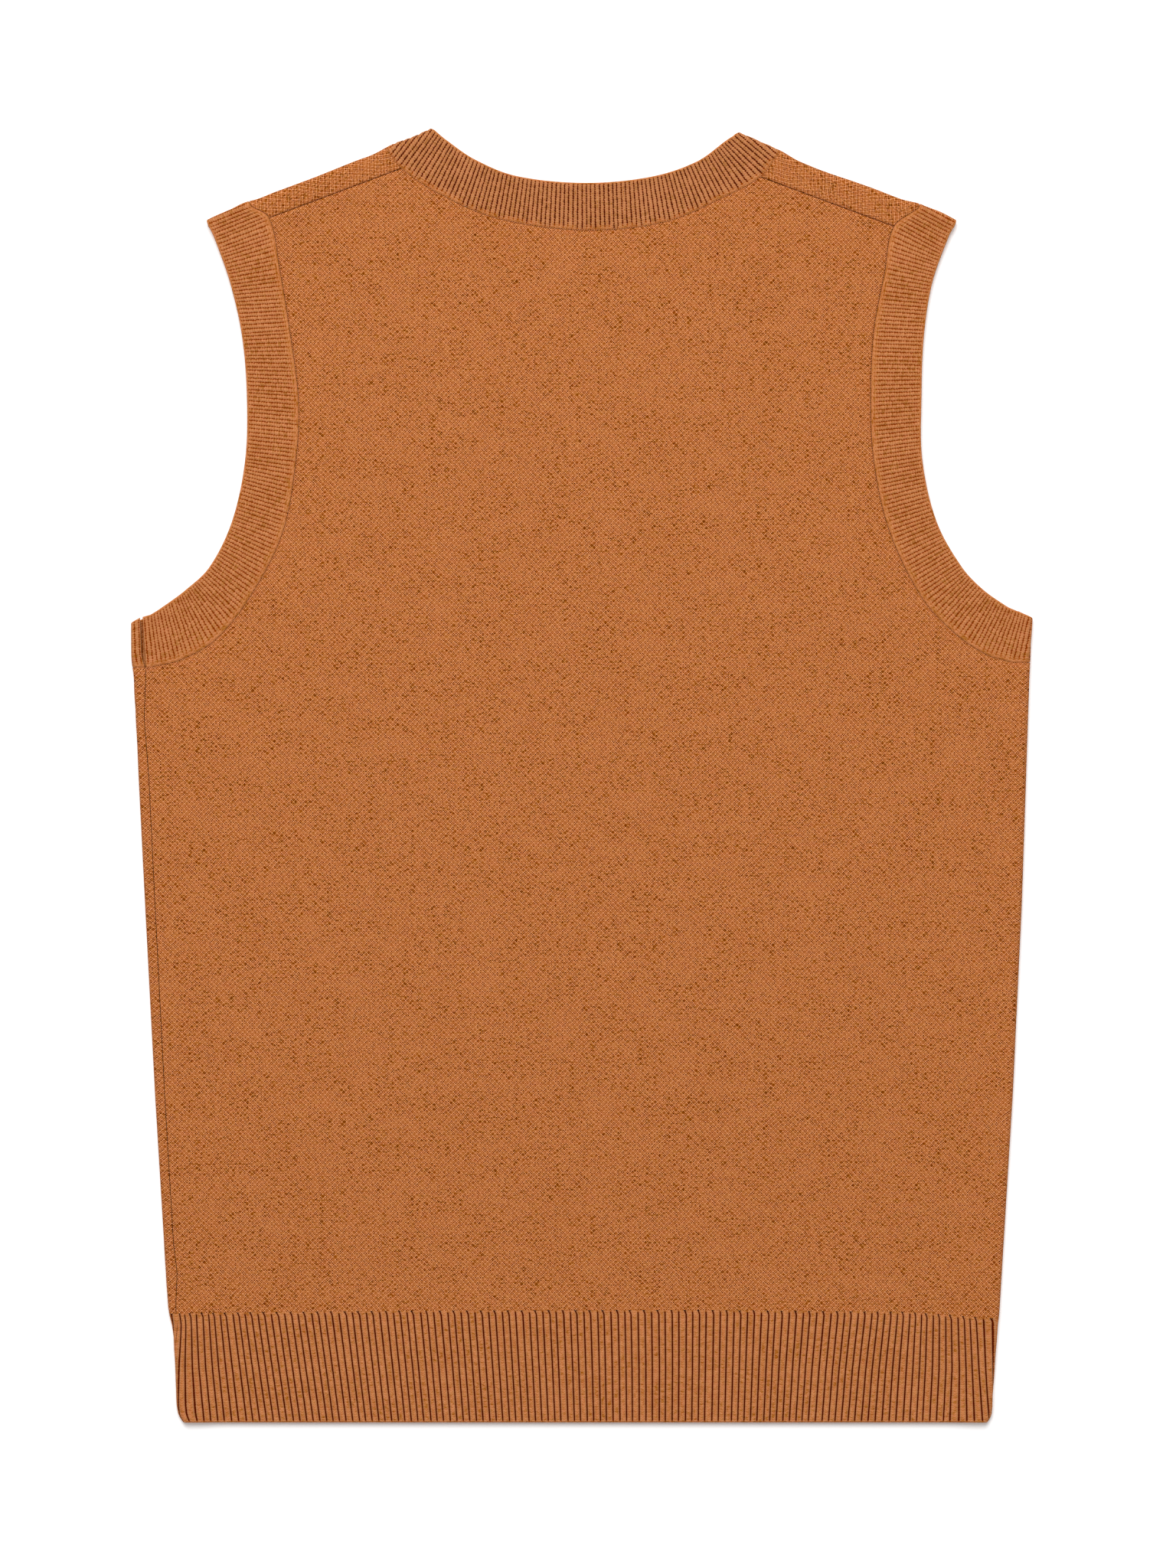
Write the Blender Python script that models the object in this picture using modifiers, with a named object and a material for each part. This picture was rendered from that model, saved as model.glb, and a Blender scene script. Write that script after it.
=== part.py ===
"""A knitted sleeveless sweater vest, laid flat with its back upwards.

It is built from the pieces that the real vest is knitted and linked from: a back and a front
panel, a ribbed hem on each, a ribbed band round the neck and one round each armhole. The front
lies underneath. It rolls over both shoulders and round the left side, so its seams with the back
lie a little inside those edges; on the right the back rolls under instead.

+Y runs to the neck, +Z up, and the underside rests on z = 0. Left and right are as seen from
above. Sizes are in millimetres until the meshes are made.
"""
import math
from collections import namedtuple

import bmesh
import bpy
import numpy as np
from mathutils import Vector

MM = 0.001
LEFT, RIGHT = -1, 1
LOWER, UPPER = "lower", "upper"

# Walls: plain knit, hem rib, and the doubled rib of the bands
PANEL_WALL = 2.0
HEM_WALL = 2.4
BAND_WALL = 2.6
SEAM_GAP = 0.4
ROLL_TRIM = 0.6  # of the front beside each band, round a shoulder, where the seams slant

# The two layers, and the rolls that join them at the shoulders and sides. A place near a roll is
# given by its turn: the way along the cloth from the outermost line, positive on the upper layer.
LAYER_PITCH = 2.9
ROLL_RADIUS = 3.2
ROLL_MIDDLE_RADIUS = 2.0
QUARTER_TURN = ROLL_MIDDLE_RADIUS * math.pi / 2
LIFT_REACH = 22.0
STRIP = 10.0

# Numbers of facets
ROLL_STEPS = 6
STRIP_STEPS = 14
NEAR_STEPS = 3
FLAT_STEPS = 1
ROW_STEPS = 2
BAND_STEPS = 3
SIDE_STEPS = 8
HEM_STEPS = 4
HEM_CROWDING = 1.4
SHOULDER_STEPS = 4
HALF_FRONT_STEPS = 6
CENTRE_STEPS = 12
V_STEPS = 12
BACK_HEM_COLUMNS = 20
FRONT_HEM_COLUMNS = 2 * HALF_FRONT_STEPS
WELD_DISTANCE = 0.01

# Outline of the laid body, below the armholes
SideEdge = namedtuple("SideEdge", "y left right")
SIDE_EDGES = (
    SideEdge(-359.5, -223.0, 227.0),
    SideEdge(-350.0, -225.2, 228.2),
    SideEdge(-325.0, -226.0, 229.6),
    SideEdge(-302.0, -228.7, 231.8),
    SideEdge(-290.0, -230.3, 232.4),
    SideEdge(-178.0, -237.1, 239.3),
    SideEdge(-71.0, -242.7, 244.4),
    SideEdge(56.0, -249.1, 248.7),
    SideEdge(66.0, -250.5, 249.2),
    SideEdge(92.0, -250.7, 250.7),
)
HEM_BOTTOM = -359.4
SeamLine = namedtuple("SeamLine", "x y")
HEM_SEAM = (
    SeamLine(-235.0, -298.8),
    SeamLine(-100.0, -297.3),
    SeamLine(60.0, -296.9),
    SeamLine(180.0, -298.0),
    SeamLine(235.0, -302.0),
)

# Turn of the side seams: on top at the left, until it runs off over the edge in the hem. Round the
# edge the gap is wider, because the inner faces of the wall crowd together there.
SideSeam = namedtuple("SideSeam", "y turn gap")
LEFT_SEAM = (
    SideSeam(-359.5, -1.5, 1.5),
    SideSeam(-325.0, 0.5, 1.5),
    SideSeam(-305.0, 3.4, 1.3),
    SideSeam(-299.0, 4.0, 1.1),
    SideSeam(-276.0, 6.5, SEAM_GAP),
    SideSeam(-260.0, 5.4, SEAM_GAP),
    SideSeam(0.0, 5.8, SEAM_GAP),
    SideSeam(32.0, 4.9, SEAM_GAP),
    SideSeam(60.0, 7.4, SEAM_GAP),
)
RIGHT_SEAM = (SideSeam(-359.5, -8.0, SEAM_GAP), SideSeam(92.0, -8.0, SEAM_GAP))

# Shoulder rolls: straight lines from the armhole tip to the peak of the neck
Shoulder = namedtuple("Shoulder", "tip peak arm_seam neck_seam")
SHOULDERS = {
    LEFT: Shoulder(Vector((-208.6, 308.0)), Vector((-83.4, 359.5)), 26.0, 108.4),
    RIGHT: Shoulder(Vector((208.2, 308.0)), Vector((86.8, 357.4)), 22.5, 105.8),
}

# Underarm ends of the armbands: heights of the seam and of the free edge at the side roll, and
# how fast the free edge climbs away from it
Underarm = namedtuple("Underarm", "seam_y free_y climb")
UNDERARMS = {LEFT: Underarm(60.0, 83.6, 0.50), RIGHT: Underarm(62.6, 87.2, 0.50)}

# Ribbed bands on the upper layer, a row for each section from its seam to its free edge. The
# first row of an armband is where the shoulder seam meets it, and so are both ends of the neck.
Section = namedtuple("Section", "seam_x seam_y free_x free_y")
ARMHOLES = {
    LEFT: (
        Section(-173.7, 309.3, -203.9, 297.8),
        Section(-167.7, 279.9, -195.0, 272.2),
        Section(-162.2, 246.3, -188.6, 242.9),
        Section(-157.5, 208.8, -186.0, 209.7),
        Section(-158.8, 175.6, -186.9, 175.6),
        Section(-166.4, 134.3, -194.1, 141.5),
        Section(-183.9, 99.8, -206.5, 116.0),
        Section(-203.1, 75.6, -220.1, 102.8),
        Section(-223.1, 64.0, -234.0, 93.0),
    ),
    RIGHT: (
        Section(173.3, 304.6, 203.5, 298.6),
        Section(168.2, 279.0, 194.5, 273.1),
        Section(162.2, 246.7, 189.9, 243.3),
        Section(160.5, 208.8, 188.6, 209.7),
        Section(162.2, 174.3, 189.0, 175.6),
        Section(170.7, 136.0, 196.7, 141.5),
        Section(188.6, 99.0, 210.7, 116.0),
        Section(206.5, 79.4, 222.6, 103.2),
        Section(224.8, 67.0, 235.4, 95.7),
    ),
}
NECKLINE = (
    Section(-100.0, 336.9, -75.3, 352.7),
    Section(-79.6, 323.3, -59.6, 342.0),
    Section(-46.8, 309.3, -36.2, 332.7),
    Section(2.1, 302.9, 2.1, 328.9),
    Section(46.8, 307.6, 38.3, 332.3),
    Section(79.6, 321.6, 63.9, 340.8),
    Section(98.8, 332.3, 80.0, 352.3),
)
FRONT_ARM_HOLLOW = 4.0

# V of the front neck, on the lower layer
CENTRE_X = 1.5
V_FREE_Y = 170.0
V_SEAM_Y = 108.0
V_BOW = 4.0

# Soft ridges of the upper layer: middle, reach along and across, direction and height
Ridge = namedtuple("Ridge", "x y along across degrees height")
RIDGES = (
    Ridge(166.0, -20.0, 60.0, 10.0, 92.0, 0.6),
    Ridge(-185.0, -60.0, 70.0, 12.0, 82.0, 0.5),
    Ridge(60.0, -170.0, 85.0, 16.0, 76.0, 0.5),
    Ridge(-70.0, 190.0, 55.0, 16.0, 62.0, 0.4),
    Ridge(196.0, 30.0, 30.0, 9.0, 40.0, 0.5),
    Ridge(-200.0, 20.0, 32.0, 9.0, -46.0, 0.5),
)

Pair = namedtuple("Pair", "seam free")
Column = namedtuple("Column", "start share top")

RUST_KNIT = (0.479, 0.159, 0.047, 1.0)
RUST_RIB = (0.424, 0.137, 0.043, 1.0)
WOOL_ROUGHNESS = 0.9


# Places on the laid garment

def table_value(rows, key, column, at):
    return float(np.interp(at, [getattr(r, key) for r in rows], [getattr(r, column) for r in rows]))


def side_x(side, y):
    return table_value(SIDE_EDGES, "y", "left" if side == LEFT else "right", y)


def hem_seam_y(x):
    return table_value(HEM_SEAM, "x", "y", x)


def side_seam_turn(side, layer, y):
    """Turn of one panel's edge at the side seam."""
    rows = LEFT_SEAM if side == LEFT else RIGHT_SEAM
    half_gap = table_value(rows, "y", "gap", y) / 2
    return table_value(rows, "y", "turn", y) + (half_gap if layer == UPPER else -half_gap)


def inset_of(turn, wall):
    """How far inside the outermost line the middle of the wall lies, at a turn."""
    if abs(turn) <= QUARTER_TURN:
        return ROLL_RADIUS - (ROLL_RADIUS - wall / 2) * math.cos(turn / ROLL_MIDDLE_RADIUS)
    return ROLL_RADIUS + abs(turn) - QUARTER_TURN


def shoulder_plan(side, along, inset):
    shoulder = SHOULDERS[side]
    run = (shoulder.peak - shoulder.tip).normalized()
    return shoulder.tip + run * along + shoulder_inward(side) * inset


def shoulder_inward(side):
    shoulder = SHOULDERS[side]
    run = (shoulder.peak - shoulder.tip).normalized()
    return Vector((-side * run.y, side * run.x))


def side_distance(side, x, y):
    top = SIDE_EDGES[-1].y
    return math.hypot(x - side_x(side, min(y, top)), max(0.0, y - top))


def shoulder_distance(side, x, y):
    shoulder = SHOULDERS[side]
    run = shoulder.peak - shoulder.tip
    from_tip = Vector((x, y)) - shoulder.tip
    along = min(max(from_tip.dot(run) / run.length_squared, 0.0), 1.0)
    return (from_tip - run * along).length


def nearness(distance):
    part = min(max((distance - ROLL_RADIUS) / LIFT_REACH, 0.0), 1.0)
    return (1 - part) ** 2 * (1 + 2 * part)


def ridges_at(x, y):
    height = 0.0
    for ridge in RIDGES:
        turn = math.radians(ridge.degrees)
        dx, dy = x - ridge.x, y - ridge.y
        along = (dx * math.cos(turn) + dy * math.sin(turn)) / ridge.along
        across = (dy * math.cos(turn) - dx * math.sin(turn)) / ridge.across
        height += ridge.height * math.exp(-along * along - across * across)
    return height


def upper_z(x, y, wall):
    """Middle of the upper layer's wall, which every roll lifts to its own top."""
    apart = 1.0
    for side in (LEFT, RIGHT):
        apart *= 1 - nearness(side_distance(side, x, y))
        apart *= 1 - nearness(shoulder_distance(side, x, y))
    roll_lift = 2 * ROLL_RADIUS - wall - LAYER_PITCH
    return wall / 2 + LAYER_PITCH + roll_lift * (1 - apart) + ridges_at(x, y)


def in_layer(plan, layer, wall):
    z = wall / 2 if layer == LOWER else upper_z(plan.x, plan.y, wall)
    return Vector((plan.x, plan.y, z))


def on_roll(plan, turn, wall):
    if turn > QUARTER_TURN:
        return in_layer(plan, UPPER, wall)
    if turn < -QUARTER_TURN:
        return in_layer(plan, LOWER, wall)
    z = ROLL_RADIUS + (ROLL_RADIUS - wall / 2) * math.sin(turn / ROLL_MIDDLE_RADIUS)
    return Vector((plan.x, plan.y, z))


def side_point(side, turn, y, wall):
    plan = Vector((side_x(side, y) - side * inset_of(turn, wall), y))
    return on_roll(plan, turn, wall)


def shoulder_point(side, along, turn, wall):
    return on_roll(shoulder_plan(side, along, inset_of(turn, wall)), turn, wall)


def roll_turns():
    """Turns from the lower layer round to the upper one."""
    return [QUARTER_TURN * (2 * i / ROLL_STEPS - 1) for i in range(ROLL_STEPS + 1)]


# Bands as rows of section pairs

def smooth_sections(rows):
    """Section pairs on a smooth curve through the rows, ROW_STEPS to each gap between rows."""
    rows = [np.array(row) for row in rows]
    smooth = []
    for i in range(len(rows) - 1):
        before = rows[max(i - 1, 0)]
        after = rows[min(i + 2, len(rows) - 1)]
        leave = (rows[i + 1] - before) / 2
        arrive = (after - rows[i]) / 2
        for step in range(ROW_STEPS):
            t = step / ROW_STEPS
            smooth.append(
                (2 * t**3 - 3 * t**2 + 1) * rows[i]
                + (t**3 - 2 * t**2 + t) * leave
                + (3 * t**2 - 2 * t**3) * rows[i + 1]
                + (t**3 - t**2) * arrive
            )
    smooth.append(rows[-1])
    return [Pair(Vector(row[:2]), Vector(row[2:])) for row in smooth]


def roll_end_row(side, seam_along, free_along):
    seam = shoulder_plan(side, seam_along, ROLL_RADIUS)
    free = shoulder_plan(side, free_along, ROLL_RADIUS)
    return Section(seam.x, seam.y, free.x, free.y)


def free_underarm_y(side, turn):
    underarm = UNDERARMS[side]
    return underarm.free_y + underarm.climb * inset_of(turn, BAND_WALL)


def arm_pairs(side, layer):
    """Armband sections from the shoulder roll down to the strip beside the side roll."""
    x = side_x(side, UNDERARMS[side].seam_y) - side * inset_of(STRIP, BAND_WALL)
    side_end = Section(x, UNDERARMS[side].seam_y, x, free_underarm_y(side, STRIP))
    rows = [roll_end_row(side, SHOULDERS[side].arm_seam, 0.0), *ARMHOLES[side], side_end]
    pairs = smooth_sections(rows)
    if layer == UPPER:
        return pairs
    hollowed = []
    for i, pair in enumerate(pairs):
        depth = FRONT_ARM_HOLLOW * math.sin(math.pi * i / (len(pairs) - 1)) ** 2
        inward = (pair.seam - pair.free).normalized() * depth
        hollowed.append(Pair(pair.seam + inward, pair.free + inward))
    return hollowed


def neck_pairs():
    left, right = SHOULDERS[LEFT], SHOULDERS[RIGHT]
    first = roll_end_row(LEFT, left.neck_seam, (left.peak - left.tip).length)
    last = roll_end_row(RIGHT, right.neck_seam, (right.peak - right.tip).length)
    return smooth_sections([first, *NECKLINE, last])


def v_pairs(side):
    """Sections of one arm of the V, from the shoulder roll down to the mitre."""
    shoulder = SHOULDERS[side]
    seam_top = shoulder_plan(side, shoulder.neck_seam, ROLL_RADIUS)
    free_top = shoulder_plan(side, (shoulder.peak - shoulder.tip).length, ROLL_RADIUS)
    seam_low = Vector((CENTRE_X, V_SEAM_Y))
    free_low = Vector((CENTRE_X, V_FREE_Y))
    pairs = []
    for i in range(V_STEPS + 1):
        t = i / V_STEPS
        bow = Vector((side * V_BOW * 4 * t * (1 - t), 0.0))
        pairs.append(Pair(seam_top.lerp(seam_low, t) + bow, free_top.lerp(free_low, t) + bow))
    return pairs


def seam_edge(pairs, shift):
    """The seam line, moved sideways: towards the free edge if shift is positive."""
    moved = []
    for i, pair in enumerate(pairs):
        run = pairs[min(i + 1, len(pairs) - 1)].seam - pairs[max(i - 1, 0)].seam
        across = Vector((-run.y, run.x)).normalized()
        if across.dot(pair.free - pair.seam) < 0:
            across.negate()
        moved.append(pair.seam + across * shift)
    return moved


def run_to_x(points, x):
    """Slides the last point along the line's own direction until it reaches x."""
    run = points[-1] - points[-2]
    points[-1] = points[-1] + run * ((x - points[-1].x) / run.x)
    return points


HALF_GAP = SEAM_GAP / 2
ARM_PAIRS = {(s, layer): arm_pairs(s, layer) for s in (LEFT, RIGHT) for layer in (LOWER, UPPER)}
NECK_PAIRS = neck_pairs()
V_PAIRS = {side: v_pairs(side) for side in (LEFT, RIGHT)}
JOIN = ROW_STEPS
SPLIT = ROW_STEPS * (len(ARMHOLES[LEFT]) - 1)
LAST = len(ARM_PAIRS[LEFT, UPPER]) - 1


# Patches: rows of points in space

def between(bottom, top, left, right):
    """Plan points that fill four edges, bottom and top from left to right, the others upwards."""
    across, up = len(bottom) - 1, len(left) - 1
    rows = []
    for j in range(up + 1):
        v = j / up
        row = []
        for i in range(across + 1):
            u = i / across
            ruled = bottom[i].lerp(top[i], v) + left[j].lerp(right[j], u)
            corners = bottom[0].lerp(bottom[-1], u).lerp(top[0].lerp(top[-1], u), v)
            row.append(ruled - corners)
        rows.append(row)
    return rows


def stretch(start, end, steps):
    return [start.lerp(end, i / steps) for i in range(steps + 1)]


def laid(rows, layer, wall):
    return [[in_layer(point, layer, wall) for point in row] for row in rows]


def flat_turn(side, plan):
    return abs(plan.x - side_x(side, plan.y)) - ROLL_RADIUS + QUARTER_TURN


def side_columns(side, layer, steps, crowding=1.0):
    """Columns of a strip beside a side roll, from the side seam to the panel's main part."""
    sign = 1 if layer == UPPER else -1
    top = UNDERARMS[side].seam_y - HALF_GAP
    shares = [1 - (i / steps) ** crowding for i in range(steps + 1)]
    columns = [Column(sign * STRIP, share, top) for share in shares]
    edge = seam_edge(ARM_PAIRS[side, layer], -HALF_GAP)
    for point in reversed(edge[SPLIT:LAST]):
        columns.append(Column(sign * flat_turn(side, point), 0.0, point.y))
    return columns


def column_turn(side, layer, column, y):
    return column.start + (side_seam_turn(side, layer, y) - column.start) * column.share


def side_strip(side, layer, wall, steps, hem=False):
    """Rows of a strip beside a side roll, from below upwards, of a panel or of its hem."""
    up = HEM_STEPS if hem else SIDE_STEPS
    rows = [[] for _ in range(up + 1)]
    for column in side_columns(side, layer, steps, HEM_CROWDING if hem else 1.0):
        seam_x = side_x(side, HEM_SEAM[0].y) - side * inset_of(column.start, wall)
        seam_y = hem_seam_y(seam_x)
        low, high = (HEM_BOTTOM, seam_y - HALF_GAP) if hem else (seam_y + HALF_GAP, column.top)
        for j, row in enumerate(rows):
            y = low + (high - low) * j / up
            row.append(side_point(side, column_turn(side, layer, column, y), y, wall))
    return rows


def inner_edge(strip):
    return [row[-1].xy for row in strip]


def hem_line(start, end, shift, steps):
    """Points beside the seam of the hem, between two given ends."""
    line = stretch(start, end, steps)
    for point in line[1:-1]:
        point.y = hem_seam_y(point.x) + shift
    return line


def roll_corners(side):
    """Ends of a shoulder roll of the front, along the roll from the armhole tip."""
    shoulder = SHOULDERS[side]
    return shoulder.arm_seam + ROLL_TRIM, shoulder.neck_seam - ROLL_TRIM


def back_patches():
    left_strip = side_strip(LEFT, UPPER, PANEL_WALL, NEAR_STEPS)
    right_strip = side_strip(RIGHT, UPPER, PANEL_WALL, STRIP_STEPS)
    arm_edges = {s: seam_edge(ARM_PAIRS[s, UPPER], -HALF_GAP) for s in (LEFT, RIGHT)}
    neck_edge = seam_edge(NECK_PAIRS, -HALF_GAP)
    arm_joins = {s: arm_edges[s][JOIN] + shoulder_inward(s) * HALF_GAP for s in (LEFT, RIGHT)}
    left_join = neck_edge[JOIN] + shoulder_inward(LEFT) * HALF_GAP
    right_join = neck_edge[-1 - JOIN] + shoulder_inward(RIGHT) * HALF_GAP
    top = [
        *stretch(arm_joins[LEFT], left_join, SHOULDER_STEPS),
        *neck_edge[JOIN + 1:-1 - JOIN],
        *stretch(right_join, arm_joins[RIGHT], SHOULDER_STEPS),
    ]
    sides = {}
    for side, strip in ((LEFT, left_strip), (RIGHT, right_strip)):
        arm = list(reversed(arm_edges[side][JOIN + 1:SPLIT]))
        sides[side] = [*inner_edge(strip), *arm, arm_joins[side]]
    bottom = hem_line(sides[LEFT][0], sides[RIGHT][0], HALF_GAP, len(top) - 1)
    main = between(bottom, top, sides[LEFT], sides[RIGHT])
    return [left_strip, laid(main, UPPER, PANEL_WALL), right_strip]


def front_half(side, strip, hem_middle):
    """Lower layer of one half of the front, from its side strip to the middle and the V."""
    arm = seam_edge(ARM_PAIRS[side, LOWER], -HALF_GAP)
    arm_end, neck_end = (shoulder_plan(side, along, ROLL_RADIUS) for along in roll_corners(side))
    outer = [*inner_edge(strip), *reversed(arm[1:SPLIT]), arm_end]
    v_edge = run_to_x(seam_edge(V_PAIRS[side], -HALF_GAP), CENTRE_X)
    middle = stretch(hem_middle, v_edge[-1], CENTRE_STEPS)
    inner = [*middle[:-1], *reversed(v_edge[1:]), neck_end]
    bottom = hem_line(outer[0], hem_middle, HALF_GAP, HALF_FRONT_STEPS)
    top = stretch(arm_end, neck_end, HALF_FRONT_STEPS)
    return laid(between(bottom, top, outer, inner), LOWER, PANEL_WALL)


def shoulder_wrap(side):
    """The front rolled over a shoulder, as far as the shoulder seam on the upper layer."""
    start, end = roll_corners(side)
    step = (end - start) / HALF_FRONT_STEPS
    alongs = [start + step * i for i in range(HALF_FRONT_STEPS + 1)]
    rows = [[shoulder_point(side, a, turn, PANEL_WALL) for a in alongs] for turn in roll_turns()]
    arm = seam_edge(ARM_PAIRS[side, UPPER], -HALF_GAP)
    neck = seam_edge(NECK_PAIRS, -HALF_GAP)
    if side == RIGHT:
        neck.reverse()
    for i in range(1, JOIN + 1):
        trim = shoulder_inward(side) * (HALF_GAP if i == JOIN else 0.0)
        flat = stretch(arm[i] - trim, neck[i] - trim, HALF_FRONT_STEPS)
        rows += laid([flat], UPPER, PANEL_WALL)
    return rows


def front_patches():
    strips = {
        LEFT: side_strip(LEFT, LOWER, PANEL_WALL, STRIP_STEPS),
        RIGHT: side_strip(RIGHT, LOWER, PANEL_WALL, FLAT_STEPS),
    }
    ends = [inner_edge(strips[side])[0] for side in (LEFT, RIGHT)]
    hem_middle = hem_line(*ends, HALF_GAP, 2)[1]
    patches = list(strips.values())
    for side in (LEFT, RIGHT):
        patches.append(front_half(side, strips[side], hem_middle))
        patches.append(shoulder_wrap(side))
    return patches


def hem_patches(layer, columns):
    left = side_strip(LEFT, layer, HEM_WALL, STRIP_STEPS, hem=True)
    right_steps = STRIP_STEPS if layer == UPPER else FLAT_STEPS
    right = side_strip(RIGHT, layer, HEM_WALL, right_steps, hem=True)
    sides = [inner_edge(left), inner_edge(right)]
    bottom = stretch(sides[0][0], sides[1][0], columns)
    top = hem_line(sides[0][-1], sides[1][-1], -HALF_GAP, columns)
    return [left, laid(between(bottom, top, *sides), layer, HEM_WALL), right]


def across_band(seam, free):
    return [seam.lerp(free, i / BAND_STEPS) for i in range(BAND_STEPS + 1)]


def underarm_end(side, layer, steps):
    """Band sections from the underarm seam to the strip's end, on one layer."""
    rows = []
    for column in side_columns(side, layer, steps)[:steps]:
        turn = column_turn(side, layer, column, UNDERARMS[side].seam_y)
        seam = side_point(side, turn, UNDERARMS[side].seam_y + HALF_GAP, BAND_WALL)
        free = side_point(side, turn, free_underarm_y(side, turn), BAND_WALL)
        rows.append(across_band(seam, free))
    return rows


def flat_band(seams, frees, layer):
    rows = []
    for seam, free in zip(seams, frees):
        ends = laid([[seam, free]], layer, BAND_WALL)[0]
        rows.append(across_band(*ends))
    return rows


def rolled_band(side, seam_along, free_along):
    """Band sections round a shoulder roll, without its two flat ends."""
    rows = []
    for turn in roll_turns()[1:-1]:
        seam = shoulder_point(side, seam_along, turn, BAND_WALL)
        free = shoulder_point(side, free_along, turn, BAND_WALL)
        rows.append(across_band(seam, free))
    return rows


def armband_patches(side):
    """One strip: up the back armhole, over the shoulder and down the front armhole."""
    steps = {UPPER: NEAR_STEPS, LOWER: STRIP_STEPS}
    if side == RIGHT:
        steps = {UPPER: STRIP_STEPS, LOWER: FLAT_STEPS}
    halves = {}
    for layer in (UPPER, LOWER):
        pairs = ARM_PAIRS[side, layer]
        flat = flat_band(seam_edge(pairs, HALF_GAP), [pair.free for pair in pairs], layer)
        halves[layer] = [*underarm_end(side, layer, steps[layer]), *reversed(flat)]
    roll = reversed(rolled_band(side, SHOULDERS[side].arm_seam - HALF_GAP, 0.0))
    return [[*halves[UPPER], *roll, *reversed(halves[LOWER])]]


def neckband_patches():
    """One strip: up the left of the V, round the back of the neck and down to the mitre."""
    arms, rolls = {}, {}
    for side in (LEFT, RIGHT):
        mitre_x = CENTRE_X + side * HALF_GAP
        seams = run_to_x(seam_edge(V_PAIRS[side], HALF_GAP), mitre_x)
        frees = run_to_x([pair.free.copy() for pair in V_PAIRS[side]], mitre_x)
        arms[side] = flat_band(seams, frees, LOWER)
        shoulder = SHOULDERS[side]
        length = (shoulder.peak - shoulder.tip).length
        rolls[side] = rolled_band(side, shoulder.neck_seam + HALF_GAP, length)
    back = flat_band(seam_edge(NECK_PAIRS, HALF_GAP), [pair.free for pair in NECK_PAIRS], UPPER)
    left = [*reversed(arms[LEFT]), *rolls[LEFT]]
    right = [*reversed(rolls[RIGHT]), *arms[RIGHT]]
    return [[*left, *back, *right]]


# Making

def wool(name, colour):
    material = bpy.data.materials.new(name)
    material.use_nodes = True
    surface = material.node_tree.nodes["Principled BSDF"]
    surface.inputs["Base Color"].default_value = colour
    surface.inputs["Roughness"].default_value = WOOL_ROUGHNESS
    surface.inputs["Metallic"].default_value = 0.0
    return material


def make_cloth(name, patches, wall, colour, collection):
    """Lofts the patches, welds them where they meet and thickens them to a wall."""
    shape = bmesh.new()
    for rows in patches:
        grid = [[shape.verts.new(point * MM) for point in row] for row in rows]
        for near, far in zip(grid, grid[1:]):
            for i in range(len(near) - 1):
                shape.faces.new((near[i], near[i + 1], far[i + 1], far[i]))
    bmesh.ops.remove_doubles(shape, verts=shape.verts, dist=WELD_DISTANCE * MM)
    bmesh.ops.recalc_face_normals(shape, faces=shape.faces)
    mesh = bpy.data.meshes.new(name)
    shape.to_mesh(mesh)
    shape.free()
    mesh.materials.append(wool(name + "_knit", colour))
    mesh.shade_smooth()
    cloth = bpy.data.objects.new(name, mesh)
    collection.objects.link(cloth)
    wall_modifier = cloth.modifiers.new("wall", "SOLIDIFY")
    wall_modifier.thickness = wall * MM
    wall_modifier.offset = 0.0
    wall_modifier.use_even_offset = True
    return cloth


def main():
    for old in list(bpy.data.objects):
        bpy.data.objects.remove(old, do_unlink=True)
    vest = bpy.data.collections.new("sweater_vest")
    bpy.context.scene.collection.children.link(vest)
    make_cloth("back", back_patches(), PANEL_WALL, RUST_KNIT, vest)
    make_cloth("front", front_patches(), PANEL_WALL, RUST_KNIT, vest)
    make_cloth("hem_back", hem_patches(UPPER, BACK_HEM_COLUMNS), HEM_WALL, RUST_RIB, vest)
    make_cloth("hem_front", hem_patches(LOWER, FRONT_HEM_COLUMNS), HEM_WALL, RUST_RIB, vest)
    make_cloth("neckband", neckband_patches(), BAND_WALL, RUST_RIB, vest)
    make_cloth("armband_left", armband_patches(LEFT), BAND_WALL, RUST_RIB, vest)
    make_cloth("armband_right", armband_patches(RIGHT), BAND_WALL, RUST_RIB, vest)


main()
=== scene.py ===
import math

import bpy
import numpy as np
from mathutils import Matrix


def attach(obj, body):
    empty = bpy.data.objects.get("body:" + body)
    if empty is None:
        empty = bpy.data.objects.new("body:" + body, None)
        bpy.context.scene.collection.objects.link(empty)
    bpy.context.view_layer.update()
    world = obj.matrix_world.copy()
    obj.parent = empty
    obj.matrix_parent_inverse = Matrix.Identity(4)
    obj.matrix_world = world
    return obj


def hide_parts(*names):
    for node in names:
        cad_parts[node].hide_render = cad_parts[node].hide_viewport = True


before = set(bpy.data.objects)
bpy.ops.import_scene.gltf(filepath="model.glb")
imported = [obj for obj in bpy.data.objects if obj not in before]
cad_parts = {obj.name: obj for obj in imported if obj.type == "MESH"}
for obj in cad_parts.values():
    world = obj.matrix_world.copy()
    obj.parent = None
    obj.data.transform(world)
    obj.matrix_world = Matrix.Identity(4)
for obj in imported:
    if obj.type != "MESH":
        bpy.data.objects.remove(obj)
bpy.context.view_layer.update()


# Front panel: fine wool jersey in a marled burnt orange, knitted as one flat piece with a V neck.
# The vest lies on it. It rolls over both shoulders and round the left side, so its edges there
# come up on top, where they are linked to the back. Sizes are in millimetres; x is to the right,
# y to the neck, and a piece's cut is its flat shape before it is rolled round an edge.
MM = 0.001
LEFT, RIGHT = -1, 1
LOWER, UPPER = -1, 1
PANEL_WALL = 2.0
LAYER_PITCH = 2.9
ROLL_RADIUS = 3.2
ROLL_MIDDLE_RADIUS = 2.0
QUARTER_TURN = ROLL_MIDDLE_RADIUS * math.pi / 2
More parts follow.
